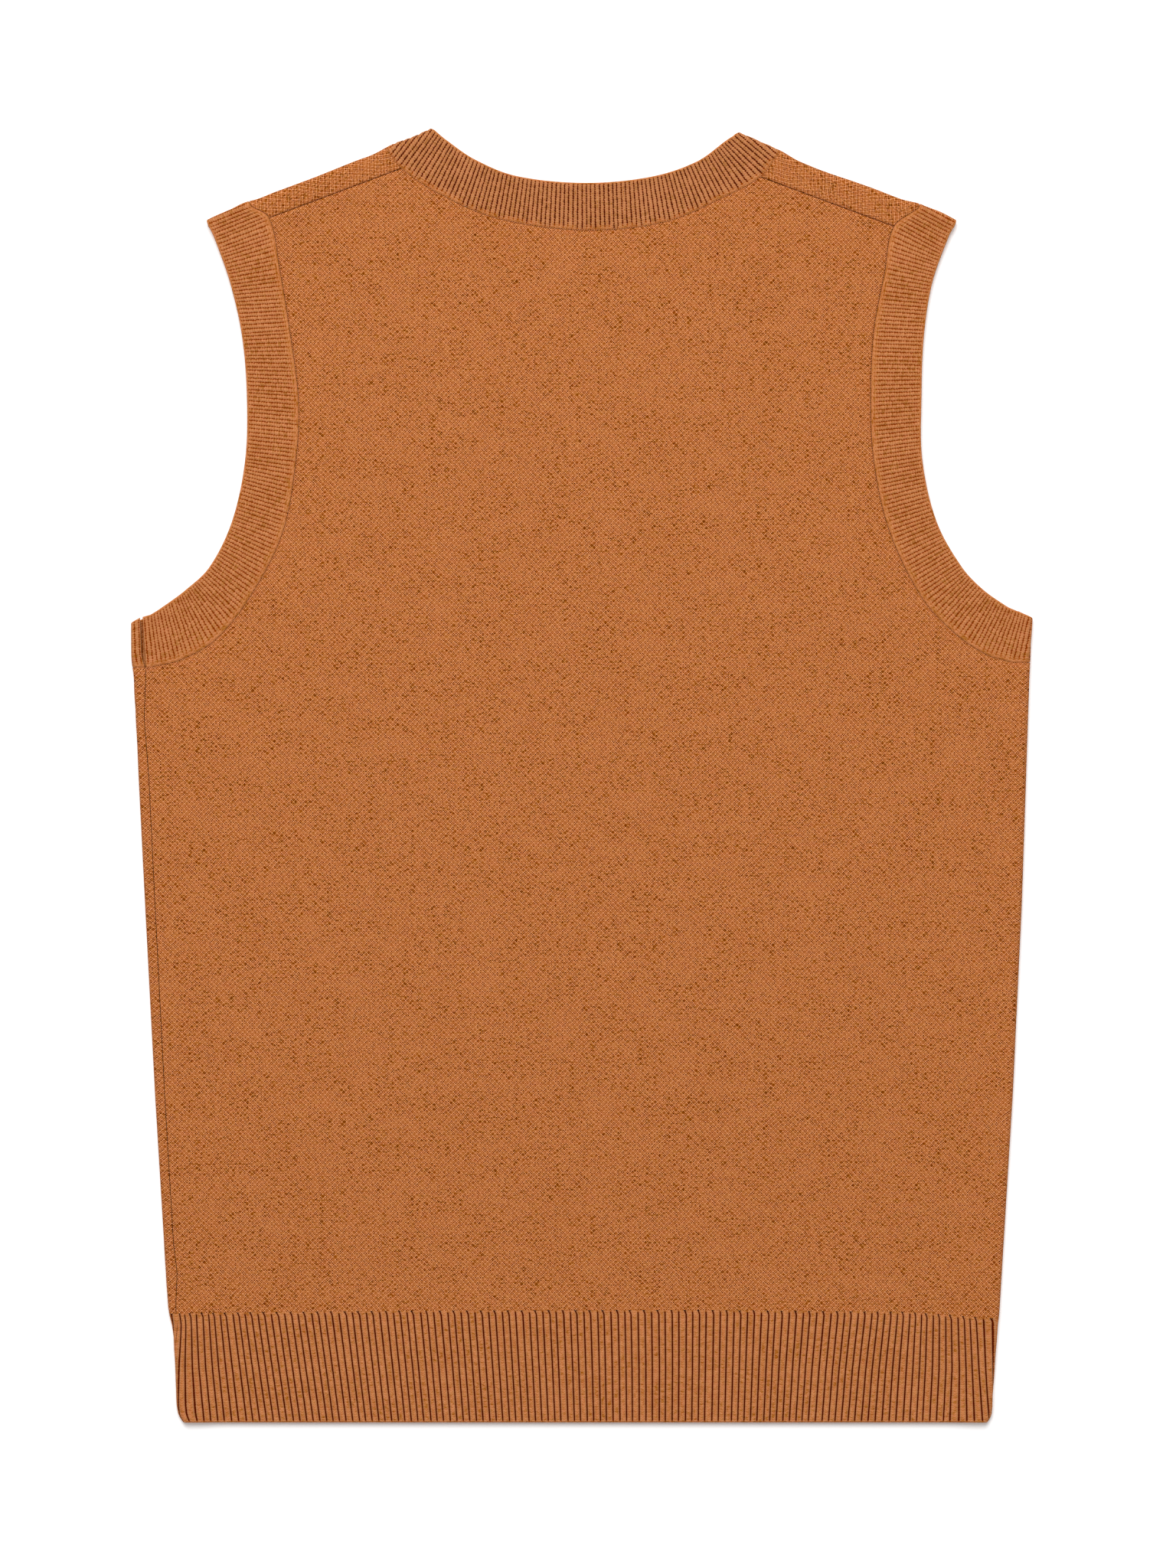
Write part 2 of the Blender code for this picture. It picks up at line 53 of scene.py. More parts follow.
LIFT_REACH = 22.0
STRIP = 10.0
SEAM_OPENING = 0.12
HEM_OPENING = 0.03
SEAM_MARGIN = 0.8

# Laid outline below the armholes, the seam above the hem, and the side seams. A seam's turn is its
# way along the cloth from the outermost line, positive on top.
EDGE = {
    "y": (-359.5, -357.5, -354.5, -350.0, -325.0, -304.5, -299.0, -290.0, -178.0, -71.0, 56.0, 66.0,
          92.0),
    LEFT: (-220.5, -223.3, -224.5, -225.2, -226.0, -227.8, -229.4, -230.3, -237.1, -242.7, -249.1,
           -250.5, -250.7),
    RIGHT: (224.5, 227.0, 227.8, 228.2, 229.6, 231.2, 231.9, 232.4, 239.3, 244.4, 248.7, 249.2, 250.7),
}
HEM_SEAM = {"x": (-235.0, -100.0, 60.0, 180.0, 235.0), "y": (-298.8, -297.3, -296.9, -298.0, -302.0)}
SIDE_SEAM = {
    LEFT: {
        "y": (-359.5, -325.0, -305.0, -299.0, -276.0, -260.0, 0.0, 32.0, 60.0),
        "turn": (-1.5, 0.5, 3.4, 4.0, 6.5, 5.4, 5.8, 4.9, 7.4),
    },
    RIGHT: {"y": (-359.5, 92.0), "turn": (-8.0, -8.0)},
}

# Shoulder rolls run from the armhole's tip to the neck's peak, and swell or sink a little off the
# straight line. The seams of the bands cross them at these distances from the tip.
SHOULDER = {
    LEFT: {
        "tip": (-208.6, 308.0), "peak": (-83.4, 359.5), "arm_seam": 26.0, "neck_seam": 108.4,
        "along": (0, 5, 17, 23, 27, 32, 40, 50, 65, 90, 98, 104, 110, 116, 120, 126, 134),
        "swell": (0.3, 0.7, 0.8, 1.6, 0.8, 0.2, 0.3, -0.1, -0.6, -0.8, -1.3, -0.9, 0.0, 0.3, -0.3, -0.3,
                  0.1),
    },
    RIGHT: {
        "tip": (208.2, 308.0), "peak": (86.8, 357.4), "arm_seam": 22.5, "neck_seam": 105.8,
        "along": (0, 5, 11, 17, 23, 27, 33, 50, 62, 74, 82, 95, 101, 107, 113, 125, 131),
        "swell": (0.2, 0.9, 1.4, 0.9, 1.2, 0.3, -0.6, -0.8, -1.4, -2.2, -2.5, -2.4, -1.4, -0.5, -0.4,
                  0.1, 0.0),
    },
}
PEAK_FULLNESS = 1.5
UNDERARM = {LEFT: {"seam": 60.0, "free": 84.0}, RIGHT: {"seam": 62.6, "free": 87.2}}
UNDERARM_CLIMB = 0.5

# Sections of the bands on the upper layer: seam x and y, then free edge x and y. The shoulder seam
# meets an armband at its first section and the neckband at its first and last ones.
ARMHOLE = {
    LEFT: (
        (-173.7, 309.3, -203.9, 297.8),
        (-167.7, 279.9, -195.0, 272.2),
        (-162.2, 246.3, -188.6, 242.9),
        (-157.5, 208.8, -186.0, 209.7),
        (-158.8, 175.6, -186.9, 175.6),
        (-166.4, 134.3, -194.1, 141.5),
        (-183.9, 99.8, -206.5, 116.0),
        (-203.1, 75.6, -220.1, 102.8),
        (-223.1, 64.0, -234.0, 92.6),
    ),
    RIGHT: (
        (173.3, 304.6, 203.5, 298.6),
        (168.2, 279.0, 194.5, 273.1),
        (162.2, 246.7, 189.9, 243.3),
        (160.5, 208.8, 188.6, 209.7),
        (162.2, 174.3, 189.0, 175.6),
        (170.7, 136.0, 196.7, 141.5),
        (188.6, 99.0, 210.7, 116.0),
        (206.5, 79.4, 222.6, 103.2),
        (224.8, 67.0, 235.4, 94.1),
    ),
}
NECKLINE = (
    (-100.0, 336.9, -75.3, 352.7),
    (-79.6, 323.3, -59.6, 342.0),
    (-46.8, 309.3, -36.2, 332.7),
    (2.1, 302.9, 2.1, 328.9),
    (46.8, 307.6, 38.3, 332.3),
    (79.6, 321.6, 63.9, 340.8),
    (98.8, 332.3, 80.0, 352.3),
)
CENTRE_X = 1.5
V_FREE_Y = 170.0
V_SEAM_Y = 108.0
V_BOW = 4.0
V_STEPS = 240
FRONT_ARM_HOLLOW = 4.0
SECTION_STEPS = 12
TABLE_BLUR = (-2.4, -0.8, 0.8, 2.4)

# Soft ridges where the upper layer doesn't lie quite flat: middle, reach along and across,
# direction in degrees and height.
RIDGES = (
    (166.0, -20.0, 60.0, 10.0, 92.0, 0.6),
    (-185.0, -60.0, 70.0, 12.0, 82.0, 0.5),
    (60.0, -170.0, 85.0, 16.0, 76.0, 0.5),
    (-70.0, 190.0, 55.0, 16.0, 62.0, 0.4),
    (196.0, 30.0, 30.0, 9.0, 40.0, 0.5),
    (-200.0, 20.0, 32.0, 9.0, -46.0, 0.5),
)


def flowing(at, places, values):
    """A table read as a smooth line."""
    return np.mean([np.interp(at + step, places, values) for step in TABLE_BLUR], axis=0)


def edge_x(side, y):
    return flowing(y, EDGE["y"], EDGE[side])


def hem_seam_y(x):
    return np.interp(x, HEM_SEAM["x"], HEM_SEAM["y"])


def shoulder_frame(side):
    """Tip, direction of the run to the peak, inward direction and length of a shoulder roll."""
    tip, peak = np.array(SHOULDER[side]["tip"]), np.array(SHOULDER[side]["peak"])
    length = np.hypot(*(peak - tip))
    run = (peak - tip) / length
    return tip, run, np.array((-side * run[1], side * run[0])), length


def shoulder_swell(side, along):
    """How far a shoulder roll stands out of the straight line from its tip to its peak."""
    return flowing(along, SHOULDER[side]["along"], SHOULDER[side]["swell"])


def nearness(distance):
    """One at a roll, falling to nought where the layers lie on each other."""
    part = np.clip((distance - ROLL_RADIUS) / LIFT_REACH, 0.0, 1.0)
    return (1 - part) ** 2 * (1 + 2 * part)


def upper_z(x, y, wall):
    """Height of the middle of the upper layer's wall."""
    apart = np.ones_like(x)
    top = EDGE["y"][-1]
    for side in (LEFT, RIGHT):
        off_side = np.hypot(x - edge_x(side, np.minimum(y, top)), np.maximum(0.0, y - top))
        tip, run, _, length = shoulder_frame(side)
        along = np.clip((x - tip[0]) * run[0] + (y - tip[1]) * run[1], 0.0, length)
        off_shoulder = np.hypot(x - tip[0] - run[0] * along, y - tip[1] - run[1] * along)
        apart *= (1 - nearness(off_side)) * (1 - nearness(off_shoulder))
    ridges = np.zeros_like(x)
    for middle_x, middle_y, reach_along, reach_across, degrees, height in RIDGES:
        lie = math.radians(degrees)
        dx, dy = x - middle_x, y - middle_y
        along = (dx * math.cos(lie) + dy * math.sin(lie)) / reach_along
        across = (dy * math.cos(lie) - dx * math.sin(lie)) / reach_across
        ridges += height * np.exp(-along**2 - across**2)
    return wall / 2 + LAYER_PITCH + (2 * ROLL_RADIUS - wall - LAYER_PITCH) * (1 - apart) + ridges


def fold(cut, home, wall):
    """Lays a cut, whose own flat part is in the home layer, round every edge that it passes.

    Gives the places of the middle of its wall, and the directions that point out of the vest.
    """
    x, y = cut[..., 0], cut[..., 1]
    laid, out = np.array(cut), np.zeros(cut.shape)
    turn = np.full(x.shape, np.inf)
    edges = []
    for side in (LEFT, RIGHT):
        edges.append((side * (edge_x(side, y) - x), np.array((-side, 0.0))))
        tip, run, inward, _ = shoulder_frame(side)
        swell = shoulder_swell(side, (x - tip[0]) * run[0] + (y - tip[1]) * run[1])
        edges.append(((x - tip[0]) * inward[0] + (y - tip[1]) * inward[1] + swell, inward))
    for inside, inward in edges:
        way = inside - ROLL_RADIUS + QUARTER_TURN
        rolled = way < QUARTER_TURN
        round_inset = ROLL_RADIUS - (ROLL_RADIUS - wall / 2) * np.cos(way / ROLL_MIDDLE_RADIUS)
        far_inset = ROLL_RADIUS - way - QUARTER_TURN
        inset = np.where(way < -QUARTER_TURN, far_inset, round_inset)
        laid[rolled] = (cut + inward * (inset - inside)[..., None])[rolled]
        turn[rolled] = way[rolled]
        out[rolled] = -inward
    angle = home * np.clip(turn, -QUARTER_TURN, QUARTER_TURN) / ROLL_MIDDLE_RADIUS
    upper = upper_z(laid[..., 0], laid[..., 1], wall)
    flat_home, flat_far = (upper, wall / 2) if home == UPPER else (wall / 2, upper)
    z = ROLL_RADIUS + (ROLL_RADIUS - wall / 2) * np.sin(angle)
    z = np.where(turn >= QUARTER_TURN, flat_home, z)
    z = np.where(turn <= -QUARTER_TURN, flat_far, z)
    outward = np.concatenate((out * np.cos(angle)[..., None], np.sin(angle)[..., None]), axis=-1)
    return np.concatenate((laid, z[..., None]), axis=-1), outward


def ways_along(points):
    """How far along a line each of its points lies."""
    return np.append(0.0, np.cumsum(np.linalg.norm(np.diff(points, axis=0), axis=1)))


def points_at(at, way, points):
    """Points at other distances along a line."""
    return np.stack([np.interp(at, way, points[:, i]) for i in range(points.shape[1])], axis=-1)


def units(directions):
    return directions / np.linalg.norm(directions, axis=1)[:, None]


def evenly(points, count):
    """Points spaced evenly along a line through the given ones."""
    points = np.asarray(points, dtype=float)
    way = ways_along(points)
    return points_at(np.linspace(0.0, way[-1], count), way, points)


def smooth_sections(rows):
    """Sections on a smooth curve through the rows."""
    rows = np.array(rows)
    steps = np.linalg.norm(np.diff(rows, axis=0), axis=1)
    mark = ways_along(rows)
    smooth = []
    for i, step in enumerate(steps):
        before, after = max(i - 1, 0), min(i + 2, len(steps))
        leave = (rows[i + 1] - rows[before]) / (mark[i + 1] - mark[before]) * step
        arrive = (rows[after] - rows[i]) / (mark[after] - mark[i]) * step
        for t in np.arange(SECTION_STEPS) / SECTION_STEPS:
            smooth.append(
                (2 * t**3 - 3 * t**2 + 1) * rows[i]
                + (t**3 - 2 * t**2 + t) * leave
                + (3 * t**2 - 2 * t**3) * rows[i + 1]
                + (t**3 - t**2) * arrive
            )
    smooth.append(rows[-1])
    return np.array(smooth)


def on_shoulder(side, along, inside):
    """Point of a cut at distances along a shoulder roll and inside it."""
    tip, run, inward, _ = shoulder_frame(side)
    return tip + run * along + inward * (inside - shoulder_swell(side, along))


def over_shoulder(side, points):
    """Where upper-layer points lie in the front's cut, which comes to them over the shoulder."""
    tip, run, inward, _ = shoulder_frame(side)
    inside = (points - tip) @ inward + shoulder_swell(side, (points - tip) @ run)
    return points + inward * (2 * (ROLL_RADIUS - QUARTER_TURN - inside))[:, None]


def side_line(side, home, ys, opening):
    """The edge of a panel's or hem's cut along a side seam."""
    seam = SIDE_SEAM[side]
    way = home * flowing(ys, seam["y"], seam["turn"]) + opening
    return np.stack((edge_x(side, ys) - side * (ROLL_RADIUS + way - QUARTER_TURN), ys), axis=-1)


def arm_sections(side, home):
    """Armband sections from the shoulder roll down to the flat strip beside the side roll."""
    seam = on_shoulder(side, SHOULDER[side]["arm_seam"], ROLL_RADIUS)
    free = on_shoulder(side, 0.0, ROLL_RADIUS)
    inside = ROLL_RADIUS + STRIP - QUARTER_TURN
    x = edge_x(side, UNDERARM[side]["seam"]) - side * inside
    end = (x, UNDERARM[side]["seam"], x, UNDERARM[side]["free"] + UNDERARM_CLIMB * inside)
    sections = smooth_sections([(*seam, *free), *ARMHOLE[side], end])
    if home == LOWER:
        share = np.linspace(0.0, 1.0, len(sections))
        inward = units(sections[:, :2] - sections[:, 2:])
        inward *= (FRONT_ARM_HOLLOW * np.sin(math.pi * share) ** 2)[:, None]
        sections = sections + np.hstack((inward, inward))
    return sections


def neck_sections():
    """Neckband sections on the back, from the left shoulder roll to the right one."""
    ends = []
    for side in (LEFT, RIGHT):
        seam = on_shoulder(side, SHOULDER[side]["neck_seam"], ROLL_RADIUS)
        free = on_shoulder(side, shoulder_frame(side)[3] + PEAK_FULLNESS, ROLL_RADIUS)
        ends.append((*seam, *free))
    return smooth_sections([ends[0], *NECKLINE, ends[1]])


def v_lines(side):
    """Seam and free edge of one arm of the V, from the shoulder roll down to the middle."""
    seam_top = on_shoulder(side, SHOULDER[side]["neck_seam"], ROLL_RADIUS)
    free_top = on_shoulder(side, shoulder_frame(side)[3], ROLL_RADIUS)
    t = np.linspace(0.0, 1.0, V_STEPS + 1)[:, None]
    bow = np.hstack((side * V_BOW * 4 * t * (1 - t), np.zeros_like(t)))
    seam = seam_top + (np.array((CENTRE_X, V_SEAM_Y)) - seam_top) * t + bow
    free = free_top + (np.array((CENTRE_X, V_FREE_Y)) - free_top) * t + bow
    return seam, free


def beside(line, shift, towards):
    """A line moved sideways, to the side on which another line lies."""
    run = np.gradient(line, axis=0)
    across = units(np.stack((-run[:, 1], run[:, 0]), axis=-1))
    across *= np.sign(np.sum(across * (towards - line), axis=1))[:, None]
    return line + across * shift


def between(bottom, top, left, right):
    """Fills four edges of a cut: bottom and top from left to right, left and right upwards."""
    u = np.linspace(0.0, 1.0, len(bottom))[None, :, None]
    v = np.linspace(0.0, 1.0, len(left))[:, None, None]
    ruled = (1 - v) * bottom + v * top + (1 - u) * left[:, None] + u * right[:, None]
    low = (1 - u) * bottom[0] + u * bottom[-1]
    high = (1 - u) * top[0] + u * top[-1]
    return ruled - (1 - v) * low - v * high


def with_margin(cut, axis, end):
    """A cut with one more line of points just inside an edge, where the wall thins to the seam."""
    lines = np.moveaxis(cut, axis, 0)
    step = 1 if end == 0 else -1
    reach = lines[end + step] - lines[end]
    margin = lines[end] + reach * (SEAM_MARGIN / np.linalg.norm(reach, axis=1))[:, None]
    return np.moveaxis(np.insert(lines, 1 if end == 0 else len(lines) - 1, margin, axis=0), 0, axis)


def with_margins(cut):
    """A cut with such lines inside its top and both its sides."""
    for axis, end in ((0, -1), (1, 0), (1, -1)):
        cut = with_margin(cut, axis, end)
    return cut


def cut_area(cuts):
    """Area of a piece's flat cut, in square millimetres."""
    area = 0.0
    for cut in cuts:
        one, other = cut[1:, 1:] - cut[:-1, :-1], cut[1:, :-1] - cut[:-1, 1:]
        area += np.abs(one[..., 0] * other[..., 1] - one[..., 1] * other[..., 0]).sum() / 2
    return area


def map_pattern(mesh, pattern):
    """Sets a mesh's UV map, on which its material lies, from a place for each of its points."""
    corners = np.zeros(len(mesh.loops), dtype=np.int32)
    mesh.loops.foreach_get("vertex_index", corners)
    layer = mesh.uv_layers[0] if mesh.uv_layers else mesh.uv_layers.new(name="pattern")
    layer.data.foreach_set("uv", pattern[corners].ravel())


def lay_grid(places, pattern, groups=(), maps=()):
    """A grid primitive, bent to the given places, with a pattern map in its UVs.

    Ribbed cloth also has vertex groups, and maps for its material.
    """
    rows, columns = places.shape[:2]
    bpy.ops.object.select_all(action="DESELECT")
    bpy.ops.mesh.primitive_grid_add(x_subdivisions=columns - 1, y_subdivisions=rows - 1, size=1.0)
    grid = bpy.context.object
    grid.data.vertices.foreach_set("co", (places.reshape(-1, 3) * MM).ravel())
    map_pattern(grid.data, pattern.reshape(-1, 2))
    for name, values in maps:
        grid.data.attributes.new(name, "FLOAT", "POINT").data.foreach_set("value", values.ravel())
    for name, values in groups:
        group = grid.vertex_groups.new(name=name)
        levels = np.round(values.ravel(), 3)
        for level in np.unique(levels):
            group.add(np.flatnonzero(levels == level).tolist(), float(level), "REPLACE")
    return grid


def join_grids(name, grids):
    """Joins grids into one piece of cloth and welds them where they meet."""
    bpy.ops.object.select_all(action="DESELECT")
    for grid in grids:
        grid.select_set(True)
    bpy.context.view_layer.objects.active = grids[0]
    if len(grids) > 1:
        bpy.ops.object.join()
    piece = bpy.context.object
    piece.name = piece.data.name = name
    bpy.ops.object.mode_set(mode="EDIT")
    bpy.ops.mesh.select_all(action="SELECT")
    bpy.ops.mesh.remove_doubles(threshold=WELD * MM)
    bpy.ops.mesh.normals_make_consistent(inside=False)
    bpy.ops.object.mode_set(mode="OBJECT")
    return piece


def shape_with(piece, kind, **settings):
    """Gives a piece a modifier and applies it."""
    modifier = piece.modifiers.new("shaping", kind)
    for name, value in settings.items():
        setattr(modifier, name, value)
    bpy.context.view_layer.objects.active = piece
    bpy.ops.object.modifier_apply(modifier=modifier.name)


def thicken(piece, wall):
    """Gives a piece of cloth its wall, thinner where its rim group falls below one."""
    shape_with(piece, "SOLIDIFY", thickness=wall * MM, offset=0.0, vertex_group="rim")
    bpy.ops.object.shade_smooth_by_angle(angle=math.radians(SMOOTH_ANGLE))


def soften_rims(panel):
    """A rim group that is one everywhere but at a panel's linked rims, above the hem."""
    bpy.ops.object.mode_set(mode="EDIT")
    bpy.ops.mesh.select_mode(type="VERT")
    bpy.ops.mesh.select_all(action="DESELECT")
    bpy.ops.mesh.select_non_manifold()
    bpy.ops.object.mode_set(mode="OBJECT")
    group = panel.vertex_groups.new(name="rim")
    group.add(range(len(panel.data.vertices)), 1.0, "REPLACE")
    for vertex in panel.data.vertices:
        x, y, _ = vertex.co / MM
        if vertex.select and y > hem_seam_y(x) + HEM_REACH:
            group.add([vertex.index], PANEL_RIM_SHARE, "REPLACE")


WELD = 0.02
SMOOTH_ANGLE = 68.0
PANEL_RIM_SHARE = 0.5
HEM_REACH = 0.1
PANEL_ROWS = 96
ARM_ROWS = 76
ROLL_ROWS = 12
WRAP_ROWS = 6
MIDDLE_ROWS = 104
HALF_COLUMNS = 62
STRIP_COLUMNS = 40
PLAIN_COLUMNS = 8
HALF_OPENING = SEAM_OPENING / 2
SHOULDER_OPENING = 0.11
SIDE_OPENING = {LEFT: 0.17, RIGHT: HALF_OPENING}
HALF_HEM = HEM_OPENING / 2
ARM_SECTIONS = {(s, h): arm_sections(s, h) for s in (LEFT, RIGHT) for h in (LOWER, UPPER)}
NECK_SECTIONS = neck_sections()
SHOULDER_JOIN = SECTION_STEPS
STRIP_JOIN = SECTION_STEPS * (len(ARMHOLE[LEFT]) - 1)


def arm_edge(side, home):
    """The edge of a panel's cut along an armhole, from the shoulder roll to the side strip."""
    sections = ARM_SECTIONS[side, home]
    return beside(sections[:, :2], -HALF_OPENING, sections[:, 2:])


def on_hem_seam(x):
    """Points of a panel's cut along its hem."""
    return np.stack((x, hem_seam_y(x) + HALF_HEM), axis=-1)


def side_strip(side, home, columns):
    """Cut of a panel beside a side roll, from the hem to the underarm seam."""
    arm = arm_edge(side, home)
    low_y = hem_seam_y(edge_x(side, HEM_SEAM["y"][0])) + HALF_HEM
    ys = np.linspace(low_y, UNDERARM[side]["seam"] - HALF_OPENING, PANEL_ROWS)
    seam = side_line(side, home, ys, SIDE_OPENING[side])
    join = arm[STRIP_JOIN]
    inside = side * (edge_x(side, join[1]) - join[0])
    inner_ys = np.linspace(low_y, join[1], PANEL_ROWS)
    inner = np.stack((edge_x(side, inner_ys) - side * inside, inner_ys), axis=-1)
    inner[0], inner[-1] = on_hem_seam(inner[0, 0]), join
    top = evenly([seam[-1], *arm[:STRIP_JOIN - 1:-1]], columns)
    bottom = on_hem_seam(np.linspace(seam[0, 0], inner[0, 0], columns))
    bottom[0] = seam[0]
    return with_margin(between(bottom, top, seam, inner), 0, -1)


def stations(*stretches):
    """One line through several stretches, each a list of points and a number of steps."""
    parts = [evenly(points, steps + 1) for points, steps in stretches]
    return np.vstack([parts[0][:1], *[part[1:] for part in parts]])


def front_half(side, strip):
    """Cut of half the front, with the shoulder that rolls over to the back."""
    arm_low = arm_edge(side, LOWER)[STRIP_JOIN::-1]
    arm_high = over_shoulder(side, arm_edge(side, UPPER)[:SHOULDER_JOIN + 1])
    neck = NECK_SECTIONS if side == LEFT else NECK_SECTIONS[::-1]
    neck_edge = beside(neck[:, :2], -HALF_OPENING, neck[:, 2:])
    neck_high = over_shoulder(side, neck_edge[:SHOULDER_JOIN + 1])
    seam_ends = arm_edge(side, UPPER)[SHOULDER_JOIN], neck_edge[SHOULDER_JOIN]
    top = over_shoulder(side, evenly(seam_ends, HALF_COLUMNS + 1))
    top += shoulder_frame(side)[2] * SHOULDER_OPENING
    v_seam, v_free = v_lines(side)
    v_low = beside(v_seam, -HALF_OPENING, v_free)[::-1]
    v_low[0, 0] = CENTRE_X
    arm_high[-1], neck_high[-1] = top[0], top[-1]
    wrap = ROLL_ROWS + WRAP_ROWS
    outer = np.vstack((
        strip[:, -1],
        stations(
            (arm_low, ARM_ROWS),
            ((arm_low[-1], arm_high[0]), ROLL_ROWS),
            (arm_high, WRAP_ROWS),
        )[1:],
    ))
    inner = stations(
        ((on_hem_seam(CENTRE_X), v_low[0]), MIDDLE_ROWS),
        (v_low, len(outer) - 1 - MIDDLE_ROWS - wrap),
        ((v_low[-1], neck_high[0]), ROLL_ROWS),
        (neck_high, WRAP_ROWS),
    )
    bottom = on_hem_seam(np.linspace(outer[0, 0], CENTRE_X, HALF_COLUMNS + 1))
    return with_margins(between(bottom, top, outer, inner))


def lay_panel(name, cuts, home):
    """One panel from its cuts, folded round the edges, welded and given its wall."""
    panel = join_grids(name, [lay_grid(fold(cut, home, PANEL_WALL)[0], cut) for cut in cuts])
    soften_rims(panel)
    thicken(panel, PANEL_WALL)
    return panel


front_cuts = []
for side, columns in ((LEFT, STRIP_COLUMNS), (RIGHT, PLAIN_COLUMNS)):
    strip = side_strip(side, LOWER, columns)
    front_cuts += [strip, front_half(side, strip)]
front = lay_panel("front_panel", front_cuts, LOWER)


# Marled wool: two plies of yarn in slightly different shades. The jersey is a fine birdseye, whose
# stitches lean both ways in turn, with darker flecks along the courses and a soft matt nap.
STITCH = 1.345
YARN = (
    (0.16, (0.075, 0.0045, 0.0000)),
    (0.36, (0.226, 0.0320, 0.0000)),
    (0.50, (0.315, 0.0630, 0.0010)),
    (0.65, (0.408, 0.1200, 0.0220)),
    (0.76, (0.500, 0.1690, 0.0510)),
    (0.92, (0.655, 0.2540, 0.1020)),
    (1.00, (0.740, 0.3200, 0.1550)),
)
JERSEY_TONE = 0.738
WOOL_FINISH = {
    "Roughness": 0.95,
    "Specular IOR Level": 0.03,
    "Sheen Weight": 0.04,
    "Sheen Roughness": 0.5,
    "Sheen Tint": (1.0, 0.55, 0.20, 1.0),
}


def fill(tree, node, inputs):
    """Fills a node's inputs, each with a socket, a number or a colour."""
    for place, value in inputs.items():
        if isinstance(value, bpy.types.NodeSocket):
            tree.links.new(value, node.inputs[place])
        else:
            node.inputs[place].default_value = value


def add_node(tree, kind, inputs, **settings):
    """A shader node with its settings, and its inputs filled."""
    node = tree.nodes.new("ShaderNode" + kind)
    for name, value in settings.items():
        setattr(node, name, value)
    fill(tree, node, inputs)
    return node


def node_maths(tree):
    """A maths node maker for one material: maths("ADD", a, b) gives the result's socket."""
    def maths(operation, *values):
        return add_node(tree, "Math", dict(enumerate(values)), operation=operation).outputs[0]
    return maths


def total(tree, *terms):
    """A sum of sockets, each with its factor."""
    result = 0.0
    for socket, factor in terms:
        result = node_maths(tree)("MULTIPLY_ADD", socket, factor, result)
    return result


def rising(tree, value, low, high):
    """Nought below low, one above high and smooth between."""
    inputs = {"Value": value, "From Min": low, "From Max": high}
    return add_node(tree, "MapRange", inputs, interpolation_type="SMOOTHSTEP").outputs["Result"]


def uneven(tree, vector, scale, detail=2.0):
    """Noise round nought, with a scale for each direction of a pattern map."""
    stretched = add_node(tree, "VectorMath", {0: vector, 1: (*scale, 0.0)}, operation="MULTIPLY")
    inputs = {"Vector": stretched.outputs[0], "Scale": 1.0, "Detail": detail}
    noise = add_node(tree, "TexNoise", inputs, noise_dimensions="2D")
    return node_maths(tree)("SUBTRACT", noise.outputs["Fac"], 0.5)


def split(tree, vector):
    return add_node(tree, "SeparateXYZ", {0: vector}).outputs[:2]


def joined(tree, x, y):
    return add_node(tree, "CombineXYZ", {0: x, 1: y}).outputs[0]


def chance(tree, x, y):
    """A random number for each whole x and y."""
    maths = node_maths(tree)
    cell = joined(tree, maths("FLOOR", x), maths("FLOOR", y))
    return add_node(tree, "TexWhiteNoise", {"Vector": cell}, noise_dimensions="2D").outputs["Value"]


def flecks(tree, pattern):
    """Where the darker ply of the yarn comes to the front: short dashes along the courses."""
    dashes = rising(tree, uneven(tree, pattern, (0.26, 0.85), 3.0), 0.03, 0.15)
    patchy = rising(tree, uneven(tree, pattern, (0.045, 0.09), 1.0), -0.34, 0.18)
    return node_maths(tree)("MULTIPLY", dashes, patchy)


def marl(tree, pattern, strength):
    """The marled yarn's own tone: flecks along the courses, specks and soft clouds."""
    return total(
        tree,
        (flecks(tree, pattern), -0.125 * strength),
        (rising(tree, uneven(tree, pattern, (0.60, 0.90), 1.0), 0.10, 0.30), -0.035 * strength),
        (uneven(tree, pattern, (0.035, 0.050)), 0.035 * strength),
        (uneven(tree, pattern, (0.05, 0.60)), 0.035 * strength),
    )


def yarn_colour(tree, tone, pattern):
    """The wool's colour at a tone, from a deep shadow to its lightest fibres.

    It is redder here and browner there, as the plies of the yarn are.
    """
    ramp = add_node(tree, "ValToRGB", {0: tone})
    elements = ramp.color_ramp.elements
    elements[0].position, elements[0].color = YARN[0][0], (*YARN[0][1], 1.0)
    elements[1].position, elements[1].color = YARN[-1][0], (*YARN[-1][1], 1.0)
    for position, colour in YARN[1:-1]:
        elements.new(position).color = (*colour, 1.0)
    plies = uneven(tree, pattern, (0.13, 0.40), 3.0)
    shade = total(tree, (plies, 0.012), (flecks(tree, pattern), 0.008))
    inputs = {"Hue": node_maths(tree)("ADD", shade, 0.5), "Color": ramp.outputs["Color"]}
    return add_node(tree, "HueSaturation", inputs).outputs["Color"]


def wool(name, knit):
    """Matt napped wool; knit gives the sockets of its colour and its height in millimetres."""
    material = bpy.data.materials.new(name)
    material.use_nodes = True
    tree = material.node_tree
    colour, height = knit(tree, add_node(tree, "TexCoord", {}).outputs["UV"])
    bump = add_node(tree, "Bump", {"Strength": 1.0, "Distance": MM, "Height": height})
    inputs = {**WOOL_FINISH, "Base Color": colour, "Normal": bump.outputs["Normal"]}
    fill(tree, tree.nodes["Principled BSDF"], inputs)
    return material


